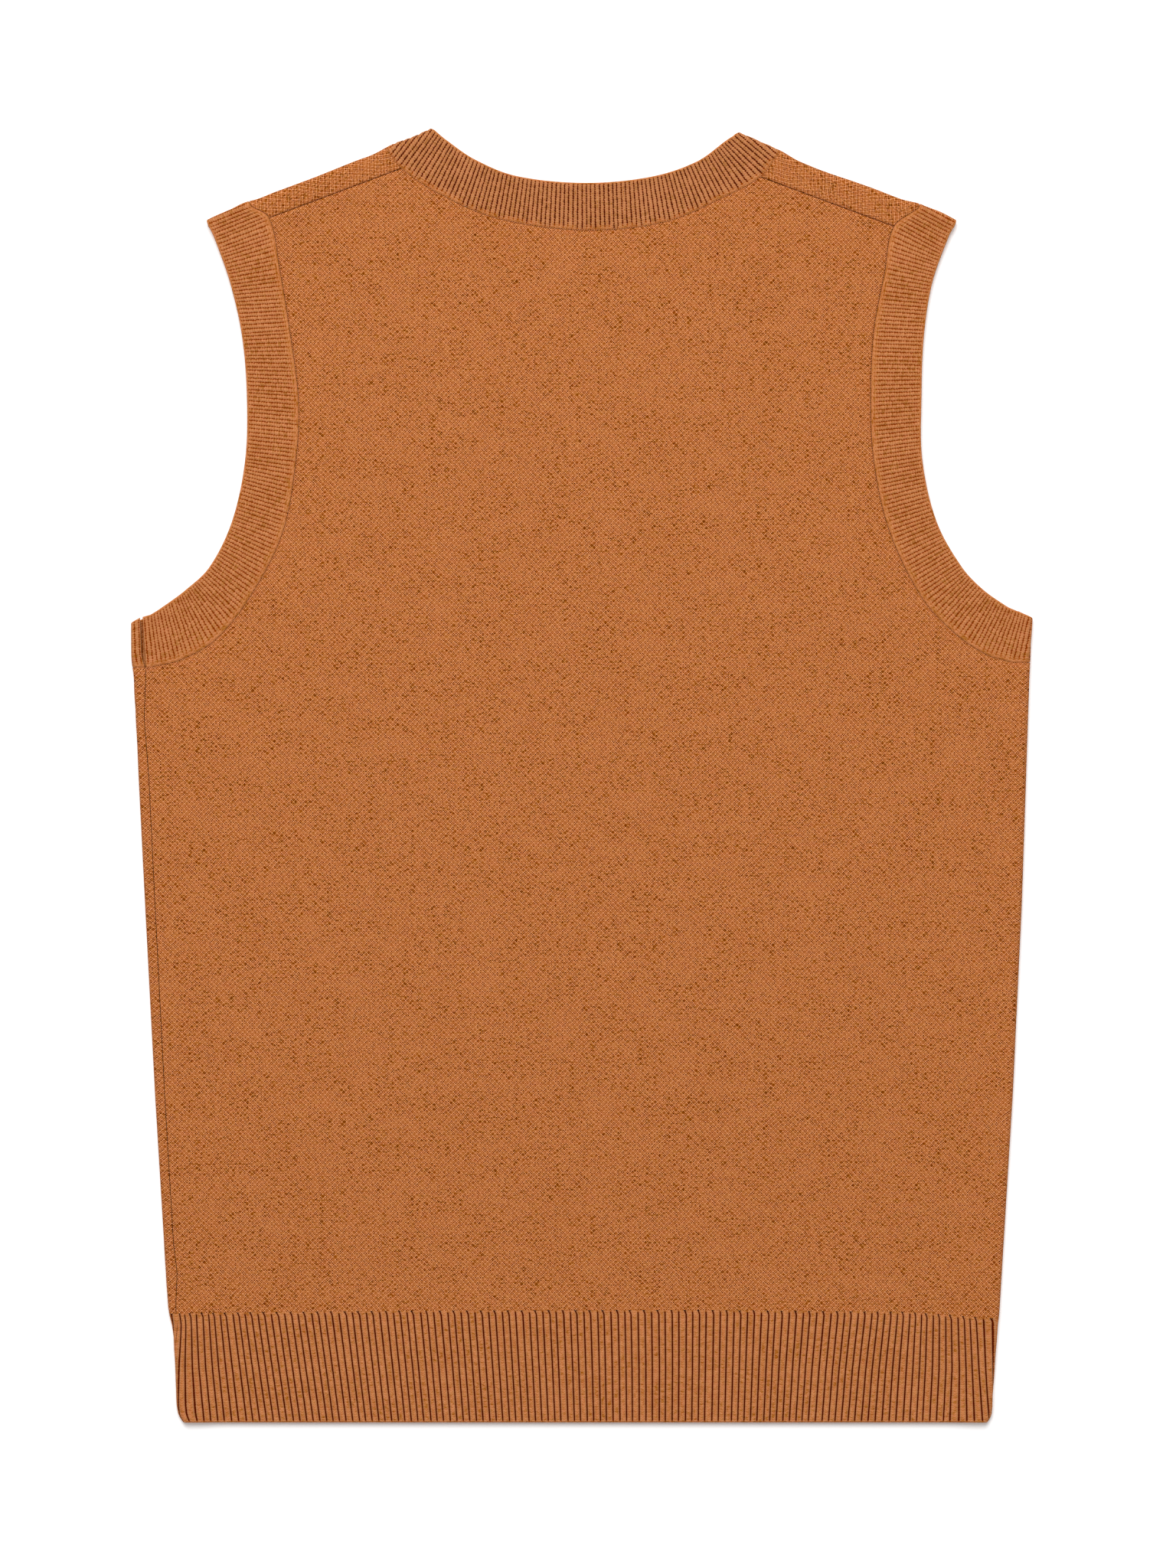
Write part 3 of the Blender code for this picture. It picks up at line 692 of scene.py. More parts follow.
def knit_jersey(tree, pattern):
    """Birdseye: stitches on both diagonals, with sunken cells between every second pair."""
    maths = node_maths(tree)
    x, y = split(tree, pattern)
    wander = [uneven(tree, pattern, scale, 1.0) for scale in ((0.05, 0.07), (0.07, 0.05))]
    x = total(tree, (x, 1 / STITCH), (wander[0], 1.2))
    y = total(tree, (y, 1 / STITCH), (wander[1], 1.2))
    one, other = maths("ADD", x, y), maths("SUBTRACT", x, y)
    fine = [maths("COSINE", maths("MULTIPLY", line, 2 * math.pi)) for line in (one, other, y)]
    check = total(tree, (fine[0], 0.5), (fine[1], 0.5))
    pairs = [maths("COSINE", maths("MULTIPLY", line, math.pi)) for line in (one, other)]
    sunken = rising(tree, total(tree, (pairs[0], 0.5), (pairs[1], 0.5)), 0.5, -0.8)
    dashes = maths("MULTIPLY", sunken, flecks(tree, pattern))
    dark_luck = chance(tree, one, other)
    light_luck = chance(tree, maths("ADD", one, 0.5), maths("ADD", other, 0.5))
    # pit marks the stitch hollows: it sinks the bump there and darkens the tone as painted shade,
    # deeper at random; loop_highlight is a painted highlight on the raised loops.
    pit = maths("MULTIPLY", rising(tree, check, 0.15, -0.9), maths("POWER", dark_luck, 2.0))
    loop_highlight = maths("MULTIPLY", rising(tree, check, -0.15, 0.9), light_luck)
    fibre = uneven(tree, pattern, (2.0, 2.0))
    tone = total(
        tree, (check, 0.12), (pairs[0], 0.062), (pairs[1], 0.062), (fine[2], 0.05), (pit, -0.62),
        (loop_highlight, 0.20), (dashes, -0.28), (fibre, 0.65), (uneven(tree, pattern, (0.60, 0.80)), 0.16),
        (marl(tree, pattern, 1.0), 1.0)
    )
    tone = maths("ADD", tone, JERSEY_TONE)
    height = total(tree, (check, 0.06), (pit, -0.15), (fibre, 0.12))
    return yarn_colour(tree, tone, pattern), height


def finish_piece(piece, material, node, cuts):
    """Material and body of one piece of cloth."""
    piece.data.materials.clear()
    piece.data.materials.append(material)
    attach(piece, "root")
    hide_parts(node)
    corners = np.vstack([cut.reshape(-1, 2) for cut in cuts])
    area = float(cut_area(cuts) * MM * MM)


jersey = wool("marled_jersey", knit_jersey)
finish_piece(front, jersey, "front", front_cuts)


# Back panel: the same jersey, on top. It rolls under at the right, where its side seam lies out
# of sight, and its shoulders end at the seams with the front.
SHOULDER_COLUMNS = 22
NECK_COLUMNS = 84


def back_main(strips):
    """Cut of the back between its two side strips, from the hem to the shoulders and the neck."""
    inner = {}
    for side in (LEFT, RIGHT):
        arm = arm_edge(side, UPPER)[STRIP_JOIN:SHOULDER_JOIN - 1:-1].copy()
        arm[-1] += shoulder_frame(side)[2] * SHOULDER_OPENING
        inner[side] = np.vstack((strips[side][:, -1], evenly(arm, ARM_ROWS + 1)[1:]))
    neck = beside(NECK_SECTIONS[:, :2], -HALF_OPENING, NECK_SECTIONS[:, 2:])
    neck = neck[SHOULDER_JOIN:-SHOULDER_JOIN]
    for side, end in ((LEFT, 0), (RIGHT, -1)):
        neck[end] += shoulder_frame(side)[2] * SHOULDER_OPENING
    top = stations(
        ((inner[LEFT][-1], neck[0]), SHOULDER_COLUMNS),
        (neck, NECK_COLUMNS),
        ((neck[-1], inner[RIGHT][-1]), SHOULDER_COLUMNS),
    )
    bottom = on_hem_seam(np.linspace(inner[LEFT][0, 0], inner[RIGHT][0, 0], len(top)))
    return with_margins(between(bottom, top, inner[LEFT], inner[RIGHT]))


back_strips = {
    LEFT: side_strip(LEFT, UPPER, PLAIN_COLUMNS),
    RIGHT: side_strip(RIGHT, UPPER, STRIP_COLUMNS),
}
back_cuts = [*back_strips.values(), back_main(back_strips)]
back = lay_panel("back_panel", back_cuts, UPPER)
finish_piece(back, jersey, "back", back_cuts)


# Hems: the panels' own wool, carried on downwards in a rib of two plain wales and one sunken one.
# The rib draws in, so its ribs lean towards the middle at both sides.
HEM_WALL = 2.4
HEM_TOP_SHARE = 0.834
HEM_BOTTOM = -359.4
HEM_HEIGHT = 61.0
HEM_RIB = 3.7
HEM_GROOVE_DEPTH = 0.85
HEM_PROFILE = {
    "place": (0.0, 0.18, 0.35, 0.43, 0.5, 0.57, 0.65, 0.82),
    "depth": (0.0, 0.03, 0.30, 0.80, 1.0, 0.80, 0.30, 0.03),
}
HEM_LEAN = {
    "x": (-209.6, -193.3, -178.0, -148.0, -118.0, -74.0, -30.0, 13.5, 42.5, 85.0, 128.0, 156.5, 172.0,
          188.0, 205.0, 220.5),
    "seam": (-1.5, -3.7, -4.4, -4.5, -3.6, -2.8, -1.8, -0.8, -0.4, 0.9, 2.8, 3.6, 3.0, 1.2, -0.4, -1.6),
    "bottom": (2.9, 3.7, 4.5, 4.3, 3.7, 2.6, 1.8, 0.6, -0.1, -0.8, -2.2, -2.7, -2.1, -1.7, -1.4, 2.0),
}
HEM_SEED = 3
HEM_WANDER = 0.035
HOOK = 0.9
SHORT_HOOK = 0.15
HOOK_LUCK = (0.6, 1.1)
HOOK_RISE = 1.9
HOOK_REACH = 2.6
HOOK_MARGIN = 8.0
WALE_TOP = 0.7
WALE_LUCK = 0.5
WALE_FADE = 1.4
HEM_RIM_FADE = 1.5
HEM_TAPER = 8.0
HEM_EVEN_ROWS = 13
HEM_CORNER_ROWS = (2.0, 3.3)
HEM_TOP_ROWS = (7.0, 5.6, 4.6, 3.8, 3.0, 2.3, 1.6, 1.0, 0.4, 0.0)
RIM_STEPS = 4
RIM_LEAST = 0.08
LEAN_REACH = {LEFT: 14.0, RIGHT: 16.0}


def rim_stations(radius, steps):
    """Distances from a rounded rim, and the share of the wall that is left there."""
    angles = np.arange(steps + 1) * math.pi / 2 / steps
    return radius * (1 - np.cos(angles)), np.sin(angles)


def rib_columns(count, profile):
    """Places of a rib's facets, in ribs, and their depths, for a number of ribs."""
    place, depth = np.array(profile["place"]), np.array(profile["depth"])
    places = (np.arange(count)[:, None] + place).ravel()
    return np.append(places, float(count)), np.append(np.tile(depth, count), depth[0])


def by_rib(ribs, values):
    """A value for each rib, read at places counted in ribs."""
    return np.interp(ribs, np.arange(len(values)) + 0.5, values)


def smooth_step(value):
    part = np.clip(value, 0.0, 1.0)
    return part * part * (3 - 2 * part)


def hem_cut(home, lean_share):
    """Cut of a hem, its rows upwards and its columns along the ribs, and maps of its make."""
    rim, rim_share = rim_stations(HEM_WALL / 2, RIM_STEPS)
    even = np.linspace(rim[-1], HEM_HEIGHT - HEM_TOP_ROWS[0], HEM_EVEN_ROWS + 1)[1:]
    above = np.concatenate((HEM_CORNER_ROWS, even, HEM_HEIGHT - np.array(HEM_TOP_ROWS[1:])))
    heights = np.append(rim, above)
    taper = 1 - (1 - HEM_TOP_SHARE) * smooth_step((heights - HEM_HEIGHT + HEM_TAPER) / HEM_TAPER)
    walls = np.append(np.maximum(rim_share, RIM_LEAST), np.ones(len(above))) * taper
    middle_y = HEM_BOTTOM + HEM_HEIGHT / 2
    ends, middles = {}, {}
    for side in (LEFT, RIGHT):
        ends[side] = side_line(side, home, HEM_BOTTOM + heights, HALF_OPENING)[:, 0]
        middles[side] = side_line(side, home, np.array((middle_y,)), HALF_OPENING)[0, 0]
    width = middles[RIGHT] - middles[LEFT]
    count = round(width / HEM_RIB)
    ribs, depths = rib_columns(count, HEM_PROFILE)
    dice = np.random.default_rng(HEM_SEED)
    wander = by_rib(ribs, dice.normal(0.0, HEM_WANDER, count))
    x = middles[LEFT] + width * np.clip(ribs + wander, 0.0, count) / count
    x = np.broadcast_to(x, (len(heights), len(x)))
    lift = (heights / HEM_HEIGHT * 2 - 1)[:, None]
    lean = lean_share * np.where(
        lift > 0,
        lift * np.interp(x[0], HEM_LEAN["x"], HEM_LEAN["seam"]),
        -lift * np.interp(x[0], HEM_LEAN["x"], HEM_LEAN["bottom"]),
    )
    for side in (LEFT, RIGHT):
        share = smooth_step(side * (middles[side] - x) / LEAN_REACH[side])
        lean = share * lean + (1 - share) * (ends[side] - middles[side])[:, None]
    # Every second sunken wale hooks to the left at its top, and reaches higher there.
    hooked = np.where(np.arange(count) % 2 == 0, 1.0, SHORT_HOOK) * dice.uniform(*HOOK_LUCK, count)
    start = HEM_HEIGHT - WALE_TOP + HOOK_RISE * hooked - dice.uniform(0.0, WALE_LUCK, count)
    start = np.append(np.repeat(start, len(HEM_PROFILE["place"])), start[-1])
    hook = HOOK * by_rib(ribs, hooked)
    hook = hook * smooth_step((heights - HEM_HEIGHT + HOOK_REACH) / HOOK_REACH)[:, None]
    hook = hook * smooth_step(np.minimum(x - middles[LEFT], middles[RIGHT] - x) / HOOK_MARGIN)
    x = x + lean - hook
    x[:, 0], x[:, -1] = ends[LEFT], ends[RIGHT]
    y = HEM_BOTTOM + heights[:, None] / HEM_HEIGHT * (hem_seam_y(x) - HALF_HEM - HEM_BOTTOM)
    open_share = 1 - smooth_step((heights[:, None] - start + WALE_FADE - WALE_LUCK) / WALE_FADE)
    open_share = open_share * smooth_step(heights / HEM_RIM_FADE)[:, None]
    pattern = np.stack(np.broadcast_arrays(ribs[None, :], heights[:, None]), axis=-1)
    walls = np.broadcast_to(walls[:, None], x.shape)
    return np.stack((x, y), axis=-1), HEM_WALL * taper[:, None], pattern, walls, depths, open_share


def rib_strip(name, places, pattern, wall, walls, depths, open_share, groove_depth):
    """A strip of rib with rounded rims, its sunken wales pressed into both faces."""
    groups = (("rim", walls), ("groove", depths * open_share))
    strip = join_grids(name, [lay_grid(places, pattern, groups, (("open_map", open_share),))])
    thicken(strip, wall)
    shape_with(strip, "DISPLACE", mid_level=0.0, strength=-groove_depth * MM, vertex_group="groove")
    return strip


def rib_wool(name, pitch, wales, groove_shade_tone, groove_shade_reach, beads, rim_grey):
    """Ribbed wool: stitches up the raised wales, and a darker sunken wale between ribs.

    Beads is how far the loops beside a sunken wale break its line up, and rim grey how far the
    greyish bands at its sides pale the wool. The sunken wale's darkness is painted shade: groove
    shade tone is its tone, and groove shade reach how far from the wale it spreads.
    """
    def knit(tree, pattern):
        maths = node_maths(tree)
        rib, way = split(tree, pattern)
        sunken = add_node(tree, "Attribute", {}, attribute_name="open_map").outputs["Fac"]
        spread = joined(tree, maths("MULTIPLY", rib, pitch), way)
        way = total(tree, (way, 1.0), (uneven(tree, spread, (0.35, 0.2)), 1.2))
        face = maths("SUBTRACT", maths("FRACT", maths("ADD", rib, 0.5)), 0.5)
        face = total(tree, (face, pitch), (uneven(tree, spread, (0.5, 0.8)), 0.4 * beads))
        off_groove = maths("SUBTRACT", 0.5 * pitch, maths("ABSOLUTE", face))
        bead = total(tree, (way, 1 / STITCH), (face, 0.45))
        bead = maths("SINE", maths("MULTIPLY", bead, 2 * math.pi))
        wale = maths("FRACT", maths("ADD", maths("MULTIPLY", rib, wales), 0.5 * (wales % 2)))
        leg = maths("ABSOLUTE", maths("SUBTRACT", wale, 0.5))
        loops = total(tree, (way, 1 / STITCH), (leg, 0.9))
        loops = maths("COSINE", maths("MULTIPLY", loops, 2 * math.pi))
        luck = chance(tree, maths("MULTIPLY", rib, 2.0), maths("DIVIDE", way, STITCH))
        luck = maths("SUBTRACT", luck, 0.5)
        fibre = uneven(tree, spread, (2.4, 2.4))
        own = marl(tree, spread, 1.6)
        tone = total(tree, (loops, 0.060), (fibre, 0.34), (luck, 0.12), (own, 1.0))
        tone = maths("ADD", tone, RIB_TONE)
        # The darkening along each sunken wale is painted shade, laid over the real groove pressed into
        # the strip.
        edge = total(tree, (off_groove, 1.0), (bead, 0.14 * beads), (luck, 0.25 * beads))
        painted_groove_shade = maths("MULTIPLY", rising(tree, edge, groove_shade_reach, 0.12), sunken)
        tone = maths("ADD", tone, maths("MULTIPLY", painted_groove_shade, maths("SUBTRACT", groove_shade_tone, tone)))
        pale = rising(tree, off_groove, 0.35, 0.60)
        pale = maths("MULTIPLY", pale, rising(tree, off_groove, 1.15, 0.80))
        pale = maths("MULTIPLY", pale, maths("MULTIPLY", sunken, rim_grey))
        mixed = {0: pale, 6: yarn_colour(tree, tone, spread), 7: (*RIM_COLOUR, 1.0)}
        paler = add_node(tree, "Mix", mixed, data_type="RGBA")
        return paler.outputs[2], total(tree, (loops, 0.05), (fibre, 0.10))
    return wool(name, knit)


RIB_TONE = 0.785
RIM_COLOUR = (0.440, 0.215, 0.105)
hem_wool = rib_wool(
    "hem_rib", HEM_RIB, wales=2, groove_shade_tone=0.03, groove_shade_reach=0.60, beads=0.30, rim_grey=0.60
)
for name, node, home, lean_share, rests_on in (
    ("hem_rib_front", "hem_front", LOWER, 0.4, []),
    ("hem_rib_back", "hem_back", UPPER, 1.0, ["hem_rib_front"]),
):
    cut, laid_wall, pattern, *make = hem_cut(home, lean_share)
    laid = fold(cut, home, laid_wall)[0]
    hem = rib_strip(name, laid, pattern, HEM_WALL, *make, HEM_GROOVE_DEPTH)
    finish_piece(hem, hem_wool, node, [cut])


# Neckband: one strip of one-by-one rib, knitted double and linked to the neck edge. It runs up
# the left of the V, over the shoulder, round the back of the neck, over and down to the mitre. Its
# ribs lean where it turns over the shoulders.
BAND_WALL = 2.6
BAND_WIDTH = 27.0
BAND_WANDER = 0.05
BAND_RAGGED = 0.4
HALF_FADE = 0.5
END_SHADE = 0.45
NECK_RIB = 2.45
NECK_SEED = 11
NECK_STEPS = 240
NECK_PLAIN = (0.8, 1.0)
NECK_GROOVE_DEPTH = 0.75
BAND_PROFILE = {"place": (0.0, 0.2, 0.38, 0.5, 0.62, 0.8), "depth": (0.0, 0.12, 0.6, 1.0, 0.6, 0.12)}
SEAM_RIM = 0.7
SEAM_LEAST = 0.72
BAND_EVEN_ROWS = 9
NECK_LEAN = {
    "x": (-107.5, -100.0, -89.8, -79.6, -63.2, -46.8, -22.3, 2.1, 24.4, 46.8, 63.2, 79.6, 89.2, 98.8,
          105.0),
    "degrees": (50.0, 53.0, 58.5, 64.5, 71.5, 79.0, 86.0, 90.5, 92.5, 100.0, 110.0, 118.5, 125.0,
                135.5, 140.0),
}
LEAN_FADE = 60.0
BEYOND = 34.0
PEAK_STEPS = 60
ROLL_WAYS = np.linspace(-BEYOND, ROLL_RADIUS, PEAK_STEPS)


def leaning(seam, free, degrees):
    """Sections from the points of a seam, in the directions of the ribs, to the free edge."""
    sections = []
    for start, angle in zip(seam, np.radians(degrees)):
        ahead = np.array((math.cos(angle), math.sin(angle)))
        away = free - start
        off = ahead[0] * away[:, 1] - ahead[1] * away[:, 0]
        along = away @ ahead
        hits = np.flatnonzero((off[:-1] * off[1:] <= 0) & (along[:-1] + along[1:] > 0))
        i = hits[np.argmin(along[hits] + along[hits + 1])]
        sections.append((*start, *(free[i] + (free[i + 1] - free[i]) * off[i] / (off[i] - off[i + 1]))))
    return np.array(sections)


def shoulder_lean(side, degrees):
    """How far ribs at an angle lean from the line of a shoulder roll, in radians."""
    _, run, _, _ = shoulder_frame(side)
    return math.radians(degrees) - math.atan2(run[1], run[0])


def peak_line(side, ways):
    """The neckband's free edge round a shoulder roll, with its fullness on top."""
    fullness = PEAK_FULLNESS * smooth_step((ways - ROLL_RADIUS + QUARTER_TURN) / QUARTER_TURN)
    alongs = shoulder_frame(side)[3] + fullness
    return np.array([on_shoulder(side, along, way) for along, way in zip(alongs, ways)])


def rolled_sections(side, seam_along, free, degrees):
    """Band sections round a shoulder roll, in the cut of the upper layer, from below upwards."""
    inside = ROLL_RADIUS + np.linspace(-2 * QUARTER_TURN, 0.0, ROLL_ROWS + 1)
    seam = np.array([on_shoulder(side, seam_along, way) for way in inside])
    return leaning(seam, free, np.full(len(seam), degrees))


def v_sections(side, degrees):
    """Sections of one arm of the V, cut off at the mitre in the middle."""
    seam, free = v_lines(side)
    _, _, inward, _ = shoulder_frame(side)
    top_width = np.linalg.norm(free[0] - seam[0])
    across = (free[0] - seam[0]) / top_width
    run = (seam[-1] - seam[0]) / np.linalg.norm(seam[-1] - seam[0])
    foot_x, foot_y = free[-1] - seam[-1]
    foot_width = abs(run[0] * foot_y - run[1] * foot_x)
    way = ways_along(seam)
    lean = abs(shoulder_lean(side, degrees)) * (1 - smooth_step(way / LEAN_FADE))
    width = (top_width + (foot_width - top_width) * way / way[-1]) / np.cos(lean)
    ahead = across * np.cos(lean)[:, None] + inward * np.sin(lean)[:, None]
    to_mitre = np.abs((CENTRE_X + side * HALF_OPENING - seam[:, 0]) / ahead[:, 0])
    return np.hstack((seam, seam + ahead * np.minimum(width, to_mitre)[:, None]))


def neck_ribs():
    """Sections of the neckband on the back, along its ribs."""
    lines = [peak_line(side, ROLL_WAYS[:-1]) for side in (LEFT, RIGHT)]
    free = np.vstack((lines[0], NECK_SECTIONS[:, 2:], lines[1][::-1]))
    seam = evenly(NECK_SECTIONS[:, :2], NECK_STEPS)
    return leaning(seam, free, np.interp(seam[:, 0], NECK_LEAN["x"], NECK_LEAN["degrees"]))


def band_piece(name, stretches, pitch, plain, depth, seed):
    """A ribbed strip from stretches of sections, each in the cut of its home layer.

    Plain is how far from its seam and from its free edge its ribs begin.
    """
    seam_rim, seam_share = rim_stations(SEAM_RIM, RIM_STEPS - 1)
    free_rim, free_share = rim_stations(BAND_WALL / 2, RIM_STEPS)
    even = np.linspace(SEAM_RIM, BAND_WIDTH - BAND_WALL / 2, BAND_EVEN_ROWS + 1)[1:-1]
    across = np.concatenate((seam_rim, even, BAND_WIDTH - free_rim[::-1]))
    seam_share, free_share = np.maximum(seam_share, SEAM_LEAST), np.maximum(free_share, RIM_LEAST)
    walls = np.concatenate((seam_share, np.ones(len(even)), free_share[::-1]))
    dense = []
    for sections, home in stretches:
        seam = beside(sections[:, :2], HALF_OPENING, sections[:, 2:])
        cut = seam + (sections[:, 2:] - seam) * (across / BAND_WIDTH)[:, None, None]
        dense.append(fold(cut, home, BAND_WALL)[0])
    dense = np.concatenate(dense, axis=1)
    way = ways_along(dense[len(across) // 2])
    count = round(way[-1] / pitch)
    ribs, depths = rib_columns(count, BAND_PROFILE)
    dice = np.random.default_rng(seed)
    wander = by_rib(ribs, dice.normal(0.0, BAND_WANDER, count))
    at = np.clip(ribs + wander, 0.0, count) / count * way[-1]
    at[0], at[-1] = 0.0, way[-1]
    places = np.stack([points_at(at, way, row) for row in dense])
    from_seam = across - plain[0] + HALF_FADE
    from_free = BAND_WIDTH - plain[1] - across + HALF_FADE
    ragged = by_rib(ribs, dice.normal(0.0, BAND_RAGGED, count))
    open_share = smooth_step(from_seam[:, None] + ragged) * smooth_step(from_free)[:, None]
    # END_SHADE moves the pattern of the first and last columns into a sunken wale, so the painted
    # groove shade darkens the band's ends: painted shade where its ends meet.
    shown = ribs.copy()
    shown[0] -= END_SHADE
    shown[-1] += END_SHADE
    pattern = np.stack(np.broadcast_arrays(shown[None, :], across[:, None]), axis=-1)
    walls = np.broadcast_to(walls[:, None], places.shape[:2])
    band = rib_strip(name, places, pattern, BAND_WALL, walls, depths, open_share, depth)
    return band, [np.stack(np.meshgrid(at, across), axis=-1)]


neck_stretches = []
for side in (LEFT, RIGHT):
    length = shoulder_frame(side)[3]
    degrees = NECK_LEAN["degrees"][0 if side == LEFT else -1]
    far_end = on_shoulder(side, length + PEAK_FULLNESS, ROLL_RADIUS + BEYOND)
    free = np.vstack((peak_line(side, ROLL_WAYS), far_end))
    roll = rolled_sections(side, SHOULDER[side]["neck_seam"], free, degrees)
    down = v_sections(side, degrees)
    if side == LEFT:
        neck_stretches += [(down[::-1], LOWER), (roll, UPPER), (neck_ribs(), UPPER)]
    else:
        neck_stretches += [(roll[::-1], UPPER), (down, LOWER)]
neckband, neck_cut = band_piece(
    "neckband_rib", neck_stretches, NECK_RIB, NECK_PLAIN, NECK_GROOVE_DEPTH, NECK_SEED
)
neck_wool = rib_wool(
    "neck_rib", NECK_RIB, wales=1, groove_shade_tone=0.02, groove_shade_reach=0.45, beads=1.0, rim_grey=0.60
)
finish_piece(neckband, neck_wool, "neckband", neck_cut)


# Armbands: one strip each of the same rib, knitted double and linked round the armhole. The left
# one's ends meet on top beside the edge, and the right one's underneath.
ARM_RIB = 2.2
ARM_SEED = {LEFT: 11, RIGHT: 13}
ARM_PLAIN = (1.4, 1.0)
ARM_GROOVE_DEPTH = 0.5
UNDERARM_COLUMNS = 60
FREE_TAIL = 40
ARM_LEAN = {
    LEFT: (22.0, 17.0, 10.0, 3.0, 4.0, -1.0, -4.5, -5.5, -7.0, -16.0, -19.0, -27.5, -37.5, -45.5,
           -58.5, -69.2, -75.0),
    RIGHT: (152.0, 161.5, 168.5, 175.0, 177.5, 178.8, 183.0, 186.0, 189.0, 194.0, 199.0, 208.0,
            215.0, 226.5, 231.5, 240.5, 246.0),
}
SLIT_SHIFT = {LEFT: 1.6, RIGHT: 0.0}
SLIT_OPENING = {LEFT: 0.38, RIGHT: HALF_OPENING}


def arm_ribs(side):
    """Sections of an armband on the upper layer, along its ribs, from the shoulder down."""
    table = ARM_SECTIONS[side, UPPER]
    low = underarm_sections(side, UPPER)[::-1]
    last = low[-1, 2:] - low[-1, :2]
    free = np.vstack((
        on_shoulder(side, 0.0, -BEYOND),
        table[:, 2:],
        low[1:, 2:],
        low[-1, 2:] + (low[-1, 2:] - low[-2, 2:]) * FREE_TAIL,
    ))
    seam = np.vstack((table[:, :2], low[1:, :2]))
    way = ways_along(seam)
    marks = [SECTION_STEPS + i * SECTION_STEPS // 2 for i in range(len(ARM_LEAN[side]))] + [-1]
    degrees = (*np.add(ARM_LEAN[side], -180.0 * side), math.degrees(math.atan2(last[1], last[0])))
    return leaning(seam, free, np.interp(way, way[marks], degrees))


def underarm_sections(side, home):
    """Armband sections from the underarm seam to the flat part of the band, on one layer."""
    seam_y = UNDERARM[side]["seam"]
    end = home * flowing(seam_y, SIDE_SEAM[side]["y"], SIDE_SEAM[side]["turn"]) + SLIT_OPENING[side]
    ways = np.linspace(end, STRIP, UNDERARM_COLUMNS + 1)
    inside = ROLL_RADIUS + ways - QUARTER_TURN
    rolled = ROLL_RADIUS - (ROLL_RADIUS - BAND_WALL / 2) * np.cos(
        np.clip(ways, -QUARTER_TURN, QUARTER_TURN) / ROLL_MIDDLE_RADIUS
    )
    depth = np.where(np.abs(ways) > QUARTER_TURN, ROLL_RADIUS + np.abs(ways) - QUARTER_TURN, rolled)
    free_y = UNDERARM[side]["free"] + UNDERARM_CLIMB * depth
    seam_x = edge_x(side, seam_y) - side * inside
    off_roll = np.clip((ways - QUARTER_TURN) / (STRIP - QUARTER_TURN), 0.0, 1.0)
    free_edge = edge_x(side, free_y) + (edge_x(side, seam_y) - edge_x(side, free_y)) * off_roll
    shift = home * SLIT_SHIFT[side] * (STRIP - ways) / (STRIP - end)
    free_x = free_edge - side * (inside - shift)
    return np.stack((seam_x, np.full(len(ways), seam_y), free_x, free_y), axis=-1)


arm_wool = rib_wool(
    "arm_rib", ARM_RIB, wales=1, groove_shade_tone=0.34, groove_shade_reach=0.38, beads=1.0, rim_grey=0.30
)
arm_seams = {}
for side, name, node in (
    (LEFT, "armband_left_rib", "armband_left"),
    (RIGHT, "armband_right_rib", "armband_right"),
):
    free = np.array([on_shoulder(side, 0.0, way) for way in (-BEYOND, ROLL_RADIUS + BEYOND)])
    roll = rolled_sections(side, SHOULDER[side]["arm_seam"], free, ARM_LEAN[side][0] - 180.0 * side)
    arm_seams[side] = [
        (arm_ribs(side)[::-1], UPPER),
        (roll[::-1], UPPER),
        (ARM_SECTIONS[side, LOWER], LOWER),
        (underarm_sections(side, LOWER)[::-1], LOWER),
    ]
    band, arm_cut = band_piece(
        name, arm_seams[side], ARM_RIB, ARM_PLAIN, ARM_GROOVE_DEPTH, ARM_SEED[side]
    )
    finish_piece(band, arm_wool, node, arm_cut)


# Linking: the chain stitches in the same wool that join the bands to the panels. They lie in the
# hollow of the seam all round, one row of slanted legs at the neck and two at each armhole.
LINK_WALL = 2.3
LINK_DEPTH = 0.22
LINK_LOWEST = 0.3
LINK_STEP = 0.4
LINK_LEG = (0.62, 0.27, 0.27)
LEG_LUCK = {"slant": 7.0, "offset": 0.05, "size": (0.88, 1.12)}
NECK_LEGS = ((-0.1, 52.0),)
ARM_LEGS = ((-0.55, 40.0), (0.55, -40.0))


def link_yarn(tree, pattern):
    maths = node_maths(tree)
    fibre = uneven(tree, pattern, (1.6, 1.6))
    tone = maths("ADD", total(tree, (fibre, 0.45)), RIB_TONE)
    return yarn_colour(tree, tone, pattern), total(tree, (fibre, 0.10))


